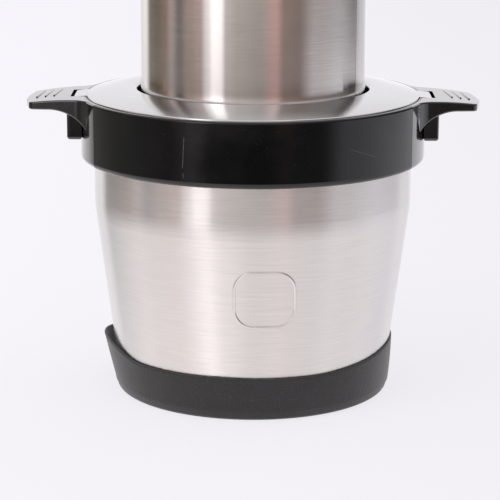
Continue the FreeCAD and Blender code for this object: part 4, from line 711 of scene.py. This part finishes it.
def arc(r: float, z: float, radius: float, start_deg: float, end_deg: float) -> Section:
    """Points of an arc in a section.

    Args:
        r: Distance of its middle from the axis.
        z: Height of its middle.
        radius: Its own radius.
        start_deg: Where it starts, with 0 outwards and 90 up.
        end_deg: Where it ends.

    Returns:
        The points.
    """
    step = (end_deg - start_deg) / ARC_STEPS
    angles = [math.radians(start_deg + step * i) for i in range(ARC_STEPS + 1)]
    return [(r + radius * math.cos(angle), z + radius * math.sin(angle)) for angle in angles]


def ring_shell(rings: list[list[Vector]]) -> tuple[list[Vector], Faces]:
    """Joins closed rings of points, each to the next and the last to the first.

    Args:
        rings: Rings with the same number of points.

    Returns:
        Points and faces of the closed skin.
    """
    count = len(rings[0])
    points = [point for ring in rings for point in ring]
    faces = []
    for i in range(len(rings)):
        j = (i + 1) % len(rings)
        for k in range(count):
            m = (k + 1) % count
            faces.append((i * count + k, i * count + m, j * count + m, j * count + k))
    return points, faces


def shell_piece(name: str, points: list[Vector], faces: Faces, finish: Finish) -> Piece:
    """Makes an object at the origin from a closed skin.

    Args:
        name: The piece's name.
        points: Its vertices, in metres.
        faces: Its faces.
        finish: Its finish.

    Returns:
        The new object.
    """
    mesh = bpy.data.meshes.new(name)
    mesh.from_pydata(points, [], faces)
    work = bmesh.new()
    work.from_mesh(mesh)
    bmesh.ops.remove_doubles(work, verts=work.verts, dist=MERGE_DIST)
    bmesh.ops.recalc_face_normals(work, faces=work.faces)
    work.to_mesh(mesh)
    work.free()
    soften(mesh, TURNED_CREASE_DEG)
    mesh.materials.append(finish.material())
    return set_down(name, mesh)


class PathTree(Tree):
    """A geometry node tree with named sizes, turned into a plain mesh at the end."""

    def __init__(self, name: str) -> None:
        """Starts an empty tree.

        Args:
            name: The name of the tree and of the piece it makes.
        """
        super().__init__(bpy.data.node_groups.new(name, "GeometryNodeTree"))
        self.tree.interface.new_socket("Geometry", in_out="OUTPUT", socket_type="NodeSocketGeometry")
        self.name = name
        self.values: dict[str, float] = {}
        self.source = self.add("NodeGroupInput")

    def size(self, name: str, value: float) -> Socket:
        """Adds a named input.

        Args:
            name: Its name.
            value: What it is set to.

        Returns:
            The input, for joining.
        """
        item = self.tree.interface.new_socket(name, in_out="INPUT", socket_type="NodeSocketFloat")
        self.values[item.identifier] = value
        return self.source.outputs[name]

    def bar(self, curve: Socket, radius: Socket, sides: int) -> Socket:
        """Lays a round bar along a curve, closed at its ends.

        Args:
            curve: The curve.
            radius: Radius of the bar.
            sides: How many sides it has.

        Returns:
            The bar.
        """
        ring = self.add("GeometryNodeCurvePrimitiveCircle", Radius=radius, Resolution=sides)
        return self.add("GeometryNodeCurveToMesh", Curve=curve, Profile_Curve=ring.outputs[0],
                        Fill_Caps=True).outputs[0]

    def piece(self, geometry: Socket, finish: Finish) -> Piece:
        """Ends the tree, evaluates it and keeps the result as a plain mesh.

        Args:
            geometry: What the tree made.
            finish: The finish of the piece.

        Returns:
            The finished object.
        """
        real = self.add("GeometryNodeRealizeInstances", Geometry=geometry)
        dressed = self.add("GeometryNodeSetMaterial", Geometry=real.outputs[0], Material=finish.material())
        self.add("NodeGroupOutput", Geometry=dressed.outputs[0])
        holder = set_down(self.name, bpy.data.meshes.new(self.name + "_start"))
        modifier = holder.modifiers.new("build", "NODES")
        modifier.node_group = self.tree
        for identifier, value in self.values.items():
            modifier[identifier] = value
        evaluated = holder.evaluated_get(bpy.context.evaluated_depsgraph_get())
        mesh = bpy.data.meshes.new_from_object(evaluated)
        holder.modifiers.remove(modifier)
        holder.data = mesh
        mesh.name = self.name
        soften(mesh, PATH_CREASE_DEG)
        return holder


# Sub-assemblies


@dataclass
class Frame:
    """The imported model's nodes by name."""

    nodes: dict[str, Piece]

    def dress(self, finish: Finish, names: str) -> None:
        """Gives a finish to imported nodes.

        Args:
            finish: The finish.
            names: The nodes, with spaces between them.
        """
        for name in names.split():
            slots = self.nodes[name].material_slots
            for slot in slots:
                slot.material = finish.material()
            if not slots:
                self.nodes[name].data.materials.append(finish.material())

    def surface_of(self, name: str) -> BVHTree:
        """The surface of a node, for finding points on it.

        Args:
            name: The node.

        Returns:
            Its faces as a tree that a ray can be cast at.
        """
        mesh = self.nodes[name].data
        faces = [tuple(polygon.vertices) for polygon in mesh.polygons]
        return BVHTree.FromPolygons([vertex.co for vertex in mesh.vertices], faces)


@dataclass
class SubAssembly:
    """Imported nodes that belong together, and the pieces that are built onto them."""

    frame: Frame

    def finishes(self) -> dict[Finish, str]:
        """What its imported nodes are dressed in."""
        return {}

    def build(self) -> list[Piece]:
        """Makes its own pieces and seats them in the frame."""
        return []

    def dress(self) -> None:
        """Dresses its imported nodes."""
        for finish, names in self.finishes().items():
            self.frame.dress(finish, names)


@dataclass
class Boot(SubAssembly):
    """Soft rubber boot: snug on the right, peeled away on the left, with a nick in its lip."""

    foot_r: float = 100.2 * MM
    foot_round: float = 4.0 * MM
    sole_hub: float = 0.25
    sole_step: float = 0.6
    floor: float = 3.0 * MM
    floor_in: float = 6.0 * MM
    clear: float = 0.08 * MM
    taper_deg: float = 7.5
    bowl_foot_r: float = 97.6 * MM
    wall: float = 3.3 * MM
    lip: float = 1.0 * MM
    side_h: float = 40.0 * MM
    front_h: float = 31.4 * MM
    flat_left: float = 80.0 * MM
    flat_right: float = 40.0 * MM
    rise_left: float = 6.6 * MM
    rise_right: float = 7.2 * MM
    flare: float = 7.4 * MM
    flare_from: float = 8.0 * MM
    flare_deg: float = 174.0
    flare_spread_deg: float = 20.0
    ripple: float = 0.25 * MM
    ripple_waves: tuple[tuple[float, int, float], ...] = ((1.0, 3, 0.6), (0.6, 7, 1.9), (0.3, 13, 0.0))
    tread: tuple[float, ...] = (0.5, 0.64, 0.78, 0.9)
    tread_w: float = 1.6 * MM
    tread_depth: float = 0.8 * MM
    nick_deg: float = 231.0
    nick_half_deg: float = 0.7
    nick_depth: float = 1.0 * MM
    around: int = 300
    up: int = 14

    def bowl_at(self, z: float) -> float:
        """Outer radius of the bowl at a height."""
        return self.bowl_foot_r + (z - self.floor) * math.tan(math.radians(self.taper_deg))

    def flared(self, degrees: float) -> float:
        """How far the wall has come away, from 0 to 1."""
        return math.exp(-((turn_between(degrees, self.flare_deg) / self.flare_spread_deg) ** 2))

    def lip_height(self, degrees: float) -> float:
        """Height of the lip: level at the front and back, rising to the sides, rippled, nicked once.

        Args:
            degrees: The angle round the bowl.

        Returns:
            The height.
        """
        a = math.radians(degrees)
        half = self.bowl_at(self.side_h)
        x = half * math.cos(a)
        flat, rise = (self.flat_right, self.rise_right) if x > 0 else (self.flat_left, self.rise_left)
        z = self.front_h + rise * (max(abs(x) - flat, 0.0) / (half - flat)) ** 2
        waves = (size * math.sin(count * a + start) for size, count, start in self.ripple_waves)
        z += self.ripple * sum(waves)
        off = abs(turn_between(degrees, self.nick_deg))
        if off < self.nick_half_deg:
            z -= self.nick_depth * (1 - off / self.nick_half_deg)
        return min(z, self.side_h)

    def section(self, degrees: float) -> Section:
        """One closed wall section of the boot at an angle.

        Args:
            degrees: The angle round the bowl.

        Returns:
            Radius and height of each point, from the middle of the foot out and back in.
        """
        top = self.lip_height(degrees)
        gap = self.flared(degrees)
        points = [(self.foot_r * self.sole_hub, 0.0)]
        for share in self.tread:
            middle = self.foot_r * share
            points += [(middle - self.tread_w, 0.0), (middle - self.tread_w / 2, self.tread_depth),
                       (middle + self.tread_w / 2, self.tread_depth), (middle + self.tread_w, 0.0)]
        points += arc(self.foot_r - self.foot_round, self.foot_round, self.foot_round, -QUARTER_TURN, 0.0)
        walls = []
        for step in range(1, self.up + 1):
            z = self.foot_round + (top - self.foot_round) * step / self.up
            share = (z - self.floor) / (self.side_h - self.floor)
            out = self.flare * max(z - self.flare_from, 0.0) / (self.side_h - self.flare_from) * gap
            thick = self.wall + (self.lip - self.wall) * share ** 2
            walls.append((self.bowl_at(z) + self.clear + out, z, thick))
        points += [(r + thick, z) for r, z, thick in walls[:-1]]
        r, z, thick = walls[-1]
        points += arc(r + thick / 2, z - thick / 2, thick / 2, 0.0, HALF_TURN)
        points += [(r, z) for r, z, _ in walls[-2::-1]]
        inner = self.bowl_at(self.floor) - self.floor_in
        radii = (inner, self.foot_r * self.sole_step, self.foot_r * self.sole_hub)
        return points + [(r, self.floor - self.clear) for r in radii]

    def skin(self) -> Piece:
        """Makes the boot's skin as a closed shell.

        Returns:
            The skin.
        """
        columns = []
        for k in range(self.around):
            degrees = FULL_TURN * k / self.around
            columns.append(turned(self.section(degrees), math.radians(degrees)))
        points, faces = ring_shell(columns)
        middle = len(points)
        first = [k * len(columns[0]) for k in range(self.around)]
        last = [index + len(columns[0]) - 1 for index in first]
        ends = set(first + last)
        faces = [face for face in faces if not ends.issuperset(face)]
        points += [Vector((0, 0, 0)), Vector((0, 0, self.floor - self.clear))]
        for k in range(self.around):
            m = (k + 1) % self.around
            faces.append((first[k], first[m], middle))
            faces.append((last[m], last[k], middle + 1))
        return shell_piece("boot_skin", points, faces, BOOT_RUBBER)

    def build(self) -> list[Piece]:
        """Builds the boot and seats it in the frame.

        Returns:
            The boot.
        """
        skin = self.skin()
        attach(skin, "bowl_unit")
        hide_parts("base_boot")
        return [skin]


@dataclass
class Bowl(SubAssembly):
    """Steel bowl with a plain embossed plaque outline on its front."""

    plaque_width: float = 42.0 * MM
    plaque_height: float = 40.0 * MM
    plaque_corner: float = 13.0 * MM
    plaque_x: float = 8.6 * MM
    plaque_z: float = 90.0 * MM
    corner_points: int = 10
    outline_points: int = 180
    ridge_r: float = 1.1 * MM
    ridge_sunk: float = 0.3 * MM
    ridge_sides: int = 12

    def wall(self) -> tuple[float, float]:
        """Finds the bowl's outside from the frame.

        Returns:
            Its radius at height zero and its growth with height.
        """
        surface = self.frame.surface_of("bowl")
        found = []
        for z in (self.plaque_z - self.plaque_height / 2, self.plaque_z + self.plaque_height / 2):
            hit = surface.ray_cast(Vector((0, -1, z)), Vector((0, 1, 0)))[0]
            found.append((z, -hit.y))
        slope = (found[1][1] - found[0][1]) / (found[1][0] - found[0][0])
        return found[0][1] - slope * found[0][0], slope

    def finishes(self) -> dict[Finish, str]:
        """What the bowl and its post are dressed in."""
        return {BOWL_STEEL: "bowl", TURNED_STEEL: "bowl_post", NYLON: "thrust_washer"}

    def build(self) -> list[Piece]:
        """Raises the outline of a blank plaque that follows the tapered wall.

        Returns:
            The outline.
        """
        base, slope = self.wall()
        tree = PathTree("plaque_outline")
        width = tree.size("Width", self.plaque_width)
        height = tree.size("Height", self.plaque_height)
        corner = tree.size("Corner", self.plaque_corner)
        ridge = tree.size("Ridge", self.ridge_r)
        sunk = tree.size("Sunk", self.ridge_sunk)
        radius = tree.size("Radius at the table", base)
        growth = tree.size("Growth", slope)
        across = tree.size("Across", self.plaque_x)
        up = tree.size("Up", self.plaque_z)
        frame = tree.add("GeometryNodeCurvePrimitiveQuadrilateral", Width=width, Height=height)
        soft = tree.add("GeometryNodeFilletCurve", {"mode": "POLY"}, Curve=frame.outputs[0], Radius=corner,
                        Limit_Radius=True, Count=self.corner_points)
        even = tree.add("GeometryNodeResampleCurve", Curve=soft.outputs[0], Count=self.outline_points)
        flat_x, flat_y, _ = tree.split_xyz(tree.add("GeometryNodeInputPosition").outputs[0])
        x = tree.plus(flat_x, across)
        z = tree.plus(flat_y, up)
        reach = tree.maths("SUBTRACT", tree.plus(radius, tree.times(z, growth)), sunk)
        depth = tree.maths("SQRT", tree.maths("SUBTRACT", tree.times(reach, reach), tree.times(x, x)))
        on_wall = tree.join_xyz(x, tree.times(depth, -1.0), z)
        moved = tree.add("GeometryNodeSetPosition", Geometry=even.outputs[0], Position=on_wall)
        piece = tree.piece(tree.bar(moved.outputs[0], ridge, self.ridge_sides), BOWL_STEEL)
        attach(piece, "bowl_unit")
        return [piece]


@dataclass
class Collar(SubAssembly):
    """Black collar ring with its wing handles and screws."""

    ribs: int = 3
    rib_x: float = 143.8 * MM
    rib_front_y: float = -8.0 * MM
    rib_length: float = 28.0 * MM
    rib_slant: float = 3.6 * MM
    rib_pitch: float = 6.2 * MM
    rib_r: float = 0.55 * MM
    rib_rise: float = 0.2 * MM
    rib_sides: int = 20
    clear_x: float = 1.6 * MM

    def top_at(self, name: str, x: float) -> float:
        """Height of a wing's top face beside its grip ribs."""
        return self.frame.surface_of(name).ray_cast(Vector((x, 0, 1)), Vector((0, 0, -1)))[0].z

    def grip(self, name: str, side: float) -> Piece:
        """Round grip ribs with flat ends, one in each groove of a wing.

        Args:
            name: The handle's node.
            side: 1 for the right handle, -1 for the left one.

        Returns:
            The ribs as one piece.
        """
        reach = (self.ribs - 1) * self.rib_pitch
        near = self.top_at(name, side * (self.rib_x - self.clear_x - self.rib_slant))
        far = self.top_at(name, side * (self.rib_x + reach + self.clear_x))
        fall = (near - far) / (reach + 2 * self.clear_x + self.rib_slant)
        tree = PathTree(f"grip_ribs_{name}")
        radius = tree.size("Radius", self.rib_r)
        length = tree.size("Length", self.rib_length)
        slant = tree.size("Slant", -side * self.rib_slant)
        pitch = tree.size("Pitch", side * self.rib_pitch)
        drop = tree.size("Drop per pitch", -fall * self.rib_pitch)
        front = tree.size("Front", self.rib_front_y)
        start_x = tree.size("First rib", side * self.rib_x)
        start_z = tree.size("Height", near - fall * (self.clear_x + self.rib_slant / 2) + self.rib_rise)
        line = tree.add("GeometryNodeCurvePrimitiveLine", End=tree.join_xyz(slant, length, 0.0))
        bar = tree.bar(line.outputs[0], radius, self.rib_sides)
        row = tree.add("GeometryNodeMeshLine", Count=self.ribs, Offset=tree.join_xyz(pitch, 0.0, drop),
                       Start_Location=tree.join_xyz(start_x, front, start_z))
        placed = tree.add("GeometryNodeInstanceOnPoints", Points=row.outputs[0], Instance=bar)
        piece = tree.piece(placed.outputs[0], HANDLE_PLASTIC)
        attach(piece, "bowl_unit")
        return piece

    def finishes(self) -> dict[Finish, str]:
        """What the ring, both handles and their screws are dressed in."""
        return {COLLAR_PLASTIC: "collar_ring", HANDLE_PLASTIC: "handle_right handle_left",
                SCREW_STEEL: "handle_screws"}

    def build(self) -> list[Piece]:
        """Makes the grip ribs of both wings."""
        return [self.grip("handle_right", 1.0), self.grip("handle_left", -1.0)]


@dataclass
class Lid(SubAssembly):
    """Steel cover with the swell of its pressed top, moulded base and seal."""

    hole_r: float = 83.9 * MM
    hole_bend_r: float = 2.48 * MM
    rim_r: float = 120.4 * MM
    rim_bend_r: float = 0.74 * MM
    top_z: float = 223.0 * MM
    rim_z: float = 217.8 * MM
    swell: float = 1.22 * MM
    tuck: float = 0.02 * MM
    sunk: float = 0.1 * MM
    around: int = 240
    across: int = 18

    def cone_at(self, r: float) -> float:
        """Height of the cover's straight cone at a radius."""
        return self.top_z - (self.top_z - self.rim_z) * (r - self.hole_r) / (self.rim_r - self.hole_r)

    def finishes(self) -> dict[Finish, str]:
        """What the cover, the lid's base and its seal are dressed in."""
        return {COVER_STEEL: "lid_cover", LID_PLASTIC: "lid_base", SEAL_RUBBER: "lid_seal"}

    def build(self) -> list[Piece]:
        """Makes the swell: the top runs out level at the hole and falls faster towards the rim.

        Returns:
            The swell.
        """
        inner = self.hole_r + self.hole_bend_r
        outer = self.rim_r - self.rim_bend_r
        section = [(r, self.cone_at(r) - self.sunk) for r in (inner, outer)]
        for step in range(self.across, -1, -1):
            share = step / self.across
            r = inner + (outer - inner) * share
            rise = self.swell * (1 - (2 * share - 1) ** 2)
            section.append((r, self.cone_at(r) - self.tuck + rise))
        angles = [math.tau * k / self.around for k in range(self.around)]
        points, faces = ring_shell([turned(section, angle) for angle in angles])
        piece = shell_piece("cover_swell", points, faces, COVER_STEEL)
        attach(piece, "head")
        return [piece]


@dataclass
class MotorHead(SubAssembly):
    """Drum, cap, buttons, switch and the motor inside."""

    wire_r: float = 0.35 * MM
    wire_sides: int = 10
    turns: float = 5.0
    turn_points: int = 24

    def spring(self, node: str, button: str) -> Piece:
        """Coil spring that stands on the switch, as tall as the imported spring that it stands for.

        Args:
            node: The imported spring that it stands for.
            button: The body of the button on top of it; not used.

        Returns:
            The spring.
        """
        low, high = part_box(node)
        middle = (low + high) / 2
        tree = PathTree(f"{node}_coil")
        wire = tree.size("Wire radius", self.wire_r)
        coil = tree.size("Coil radius", (high.x - low.x) / 2 - self.wire_r)
        height = tree.size("Height", high.z - low.z - 2 * self.wire_r)
        turns = tree.size("Turns", self.turns)
        x = tree.size("Across", middle.x)
        y = tree.size("Back", middle.y)
        foot = tree.size("Foot", low.z + self.wire_r)
        spiral = tree.add("GeometryNodeCurveSpiral", Resolution=self.turn_points, Rotations=turns,
                          Start_Radius=coil, End_Radius=coil, Height=height)
        bar = tree.bar(spiral.outputs[0], wire, self.wire_sides)
        placed = tree.add("GeometryNodeTransform", Geometry=bar, Translation=tree.join_xyz(x, y, foot))
        piece = tree.piece(placed.outputs[0], SPRING_STEEL)
        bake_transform(piece)
        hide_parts(node)
        return piece

    def finishes(self) -> dict[Finish, str]:
        """What the drum, the cap, the switch, the motor and the gears are dressed in.

        Returns:
            The names of the nodes by their finish, with spaces between them.
        """
        return {
            HOUSING_STEEL: "motor_housing",
            CAP_PLASTIC: "top_cap",
            BUTTON_PLASTIC: "button_high button_low",
            INNER_PLASTIC: "switch_block switch_plate brush_holders cooling_fan",
            GLAND_RUBBER: "cord_gland shaft_seal",
            SCREW_STEEL: "cap_screws motor_bolts gearbox_screws lower_bearing upper_bearing",
            CAST_ALLOY: "lower_bracket upper_bracket gearbox_housing gearbox_cover",
            CORE_IRON: "stator_core armature_core",
            COPPER: "field_coils armature_windings commutator",
            CARBON: "carbon_brushes",
            GEAR_STEEL: "armature_shaft sun_pinion planet_carrier",
            NYLON: "planet_gear_1 planet_gear_2 planet_gear_3",
            BRONZE: "output_bush",
            TURNED_STEEL: "drive_coupler",
        }

    def build(self) -> list[Piece]:
        """Makes the springs under the two buttons."""
        return [self.spring("button_high_spring", "high_button"),
                self.spring("button_low_spring", "low_button")]


@dataclass
class BladeUnit(SubAssembly):
    """Hub, two blades, spacer and nut."""

    def finishes(self) -> dict[Finish, str]:
        """What the hub and the blades are dressed in."""
        return {TURNED_STEEL: "blade_hub blade_spacer blade_nut", BLADE_STEEL: "lower_blade upper_blade"}


# Studio


@dataclass
class Camera:
    """Camera at the photograph's place, a little above the handles and square from the front."""

    distance: float = 1.5312
    height: float = 0.4598
    pitch_deg: float = 13.195
    roll_deg: float = 0.26
    lens: float = 153.35
    sensor: float = 36.0
    shift_x: float = -0.0047
    shift_y: float = -0.0013
    reach: float = 60.0

    def build(self) -> None:
        """Makes the camera the scene's own."""
        data = bpy.data.cameras.new("photo_camera")
        data.lens = self.lens
        data.sensor_width = self.sensor
        data.shift_x = self.shift_x
        data.shift_y = self.shift_y
        data.clip_end = self.reach
        camera = set_down("photo_camera", data)
        tilt = Matrix.Rotation(math.radians(QUARTER_TURN - self.pitch_deg), 4, "X")
        roll = Matrix.Rotation(math.radians(self.roll_deg), 4, "Z")
        camera.matrix_world = Matrix.Translation((0, -self.distance, self.height)) @ tilt @ roll
        bpy.context.scene.camera = camera


# What gloss shows about level, by the turn in degrees from the back over the left to the front.
LEVEL_BANDS: Bands = (
    (-180, (1.15, 1.13, 1.17)), (-160, (0.88, 0.86, 0.89)), (-141, (1.15, 1.08, 1.06)),
    (-128, (0.22, 0.19, 0.15)), (-112, (0.17, 0.13, 0.08)), (-101, (0.28, 0.17, 0.12)),
    (-91, (0.50, 0.40, 0.35)), (-80, (0.15, 0.12, 0.11)), (-68, (0.45, 0.34, 0.28)),
    (-55, (0.66, 0.49, 0.44)), (-47, (1.40, 1.30, 1.30)), (-40, (2.25, 2.15, 2.15)),
    (-33, (2.15, 2.05, 2.04)), (-27, (0.88, 0.78, 0.76)), (-14, (0.68, 0.61, 0.56)),
    (8, (0.58, 0.51, 0.46)), (22, (0.84, 0.50, 0.44)), (32, (0.34, 0.23, 0.18)),
    (50, (0.27, 0.18, 0.14)), (68, (0.26, 0.21, 0.18)), (95, (0.24, 0.22, 0.21)),
    (122, (0.10, 0.08, 0.08)), (140, (0.64, 0.64, 0.66)), (180, (1.15, 1.13, 1.17)),
)
# What gloss shows between level and the floor.
SHELF_BANDS: Bands = (
    (-180, (0.98, 0.96, 1.00)), (-142, (0.82, 0.80, 0.81)), (-128, (0.30, 0.29, 0.28)),
    (-90, (0.27, 0.26, 0.25)), (-55, (0.18, 0.15, 0.15)), (-41, (0.38, 0.34, 0.34)),
    (-28, (0.11, 0.10, 0.10)), (0, (0.06, 0.055, 0.06)), (45, (0.11, 0.11, 0.12)),
    (66, (0.86, 0.84, 0.90)), (100, (1.12, 1.10, 1.16)), (135, (1.00, 0.98, 1.03)),
    (155, (0.86, 0.84, 0.88)), (180, (0.98, 0.96, 1.00)),
)
# What gloss shows of the pale floor.
FLOOR_BANDS: Bands = (
    (-180, (1.05, 1.03, 1.09)), (-135, (1.14, 1.11, 1.14)), (-100, (1.26, 1.21, 1.21)),
    (-60, (1.20, 1.13, 1.12)), (-48, (1.20, 1.14, 1.13)), (-33, (1.44, 1.37, 1.36)),
    (-20, (1.24, 1.18, 1.17)), (0, (1.08, 1.03, 1.02)), (50, (1.10, 1.06, 1.06)),
    (90, (1.01, 0.97, 0.98)), (140, (0.92, 0.89, 0.93)), (180, (1.05, 1.03, 1.09)),
)
# The pale roof, from its edge to its top.
ROOF_STOPS: Bands = ((0.0, (1.16, 1.14, 1.18)), (0.35, (0.96, 0.95, 0.98)), (1.0, (0.84, 0.83, 0.86)))


@dataclass(frozen=True)
class Lamp:
    """A square soft lamp aimed at the middle of the object."""

    name: str
    place: tuple[float, float, float]
    watts: float
    size: float = 1.4
    aim: tuple[float, float, float] = (0, 0, 0.15)

    def build(self) -> None:
        """Hangs the lamp, out of sight of the gloss."""
        data = bpy.data.lights.new(self.name, "AREA")
        data.shape = "SQUARE"
        data.size = self.size
        data.energy = self.watts
        lamp = set_down(self.name, data)
        turn = (Vector(self.aim) - Vector(self.place)).to_track_quat("-Z", "Y")
        lamp.matrix_world = Matrix.Translation(self.place) @ turn.to_matrix().to_4x4()
        lamp.visible_glossy = False


@dataclass
class Studio:
    """Pale floor, even soft light and a pale tent with darker openings that the gloss shows."""

    backdrop: Colour = (0.94, 0.93, 0.975)
    back_wall: Colour = (0.93, 0.91, 0.95)
    back_from: float = 0.40
    back_to: float = 0.44
    back_low: float = -0.06
    back_high: float = 0.16
    fill: Colour = (0.74, 0.7289, 0.74)
    floor_from: float = -0.37
    floor_to: float = -0.245
    shelf_from: float = -0.152
    shelf_to: float = -0.140
    calm: float = 0.4
    calm_value: float = 1.06
    calm_from: float = 0.08
    calm_to: float = 0.26
    roof_from: float = 0.55
    roof_to: float = 0.75
    roof_edge: float = 0.5
    floor_half: float = 9.0
    # Painted light on the floor's glow: brighter on the left, dimmer on the right, across this half width.
    floor_light_falloff_half: float = 0.35
    floor_lit_left: Colour = (1.0, 0.985, 1.04)
    floor_shaded_right: Colour = (0.925, 0.91, 0.95)
    floor_matte: Colour = (0.84, 0.83, 0.86)
    floor_glow: float = 0.78
    lamps: tuple[Lamp, ...] = (Lamp("key_lamp", (-1.2, -1.1, 1.9), 9.0),
                               Lamp("rim_lamp", (1.3, 0.9, 1.7), 5.0))

    def tent(self, graph: Graph) -> Socket:
        """What gloss sees of the studio: floor, lower wall, level wall and the pale roof.

        Args:
            graph: The world's tree.

        Returns:
            The colour by direction.
        """
        x, y, z = graph.split_xyz(graph.add("ShaderNodeTexCoord").outputs["Generated"])
        turn = graph.maths("ARCTAN2", x, graph.times(y, -1.0))
        turn = graph.maths("MULTIPLY_ADD", turn, 1 / math.tau, RAMP_FRONT)
        level, shelf, floor = (
            graph.ramp(turn, tuple((degrees / FULL_TURN + RAMP_FRONT, colour) for degrees, colour in bands))
            for bands in (LEVEL_BANDS, SHELF_BANDS, FLOOR_BANDS))
        roof = graph.ramp(graph.span(z, self.roof_edge, 1.0), ROOF_STOPS)
        lower = graph.blend(graph.span(z, self.floor_from, self.floor_to), floor, shelf)
        from_front = graph.maths("ABSOLUTE", graph.maths("SUBTRACT", turn, RAMP_FRONT))
        behind = graph.times(graph.span(from_front, self.back_from, self.back_to),
                             graph.span(z, self.back_low, self.back_high))
        level = graph.blend(behind, level, self.back_wall)
        calm = graph.add("ShaderNodeHueSaturation", Saturation=self.calm, Value=self.calm_value,
                         Color=level)
        level = graph.blend(graph.span(z, self.calm_from, self.calm_to), level, calm.outputs[0])
        wall = graph.blend(graph.span(z, self.shelf_from, self.shelf_to), lower, level)
        return graph.blend(graph.span(z, self.roof_from, self.roof_to), wall, roof)

    def world(self) -> None:
        """Even light for matte things, the tent for gloss and the pale backdrop for the camera."""
        world = bpy.data.worlds.new("studio")
        world.use_nodes = True
        world.cycles.sampling_method = "NONE"
        bpy.context.scene.world = world
        graph = Graph(world.node_tree)
        rays = graph.add("ShaderNodeLightPath").outputs
        seen = graph.blend(rays["Is Glossy Ray"], self.fill, self.tent(graph))
        seen = graph.blend(rays["Is Camera Ray"], seen, self.backdrop)
        shader = graph.add("ShaderNodeBackground", Color=seen, Strength=1.0)
        graph.add("ShaderNodeOutputWorld", Surface=shader.outputs[0])

    def floor_material(self) -> bpy.types.Material:
        """Makes the floor's material: matte for the light, mostly a pale glow for the camera, with painted
        light that is brighter on the left and dimmer on the right.

        Returns:
            The material.
        """
        material = bpy.data.materials.new("studio_floor")
        material.use_nodes = True
        graph = Graph(material.node_tree)
        across = graph.split_xyz(graph.place())[0]
        # Painted light: the glow fades from the brighter left to the dimmer right.
        side = graph.span(across, -self.floor_light_falloff_half, self.floor_light_falloff_half)
        matte = graph.add("ShaderNodeBsdfDiffuse", Color=rgba(self.floor_matte))
        pale = graph.blend(side, self.floor_lit_left, self.floor_shaded_right)
        glow = graph.add("ShaderNodeEmission", Color=pale, Strength=1.0)
        camera = graph.add("ShaderNodeLightPath").outputs["Is Camera Ray"]
        mix = graph.add("ShaderNodeMixShader", Fac=graph.times(camera, self.floor_glow))
        for socket, shader in zip(mix.inputs[1:], (matte, glow)):
            graph.put(socket, shader.outputs[0])
        graph.add("ShaderNodeOutputMaterial", Surface=mix.outputs[0])
        return material

    def floor(self) -> None:
        """Wide pale floor that keeps a soft shadow and leaves the gloss to the tent."""
        half = self.floor_half
        mesh = bpy.data.meshes.new("studio_floor")
        corners = [(-half, -half, 0), (half, -half, 0), (half, half, 0), (-half, half, 0)]
        mesh.from_pydata(corners, [], [(0, 1, 2, 3)])
        mesh.materials.append(self.floor_material())
        floor = set_down("studio_floor", mesh)
        floor.visible_glossy = False

    def build(self) -> None:
        """Sets up the world, the floor and the lamps."""
        self.world()
        self.floor()
        for lamp in self.lamps:
            lamp.build()
        bpy.context.scene.view_settings.view_transform = "Standard"


def main() -> None:
    """Loads the frame, builds and dresses every sub-assembly and sets up the studio."""
    logging.basicConfig(level=logging.INFO, format="%(message)s")
    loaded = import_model()
    frame = Frame(loaded["nodes"])
    for part in (Boot(frame), Bowl(frame), Collar(frame), Lid(frame), MotorHead(frame), BladeUnit(frame)):
        for piece in part.build():
            LOG.info("built %s: %d faces", piece.name, len(piece.data.polygons))
        part.dress()
        LOG.info("dressed %s", type(part).__name__)
    for setting in (Camera(), Studio()):
        setting.build()
        LOG.info("set up %s", type(setting).__name__)


if __name__ == "__main__":
    main()
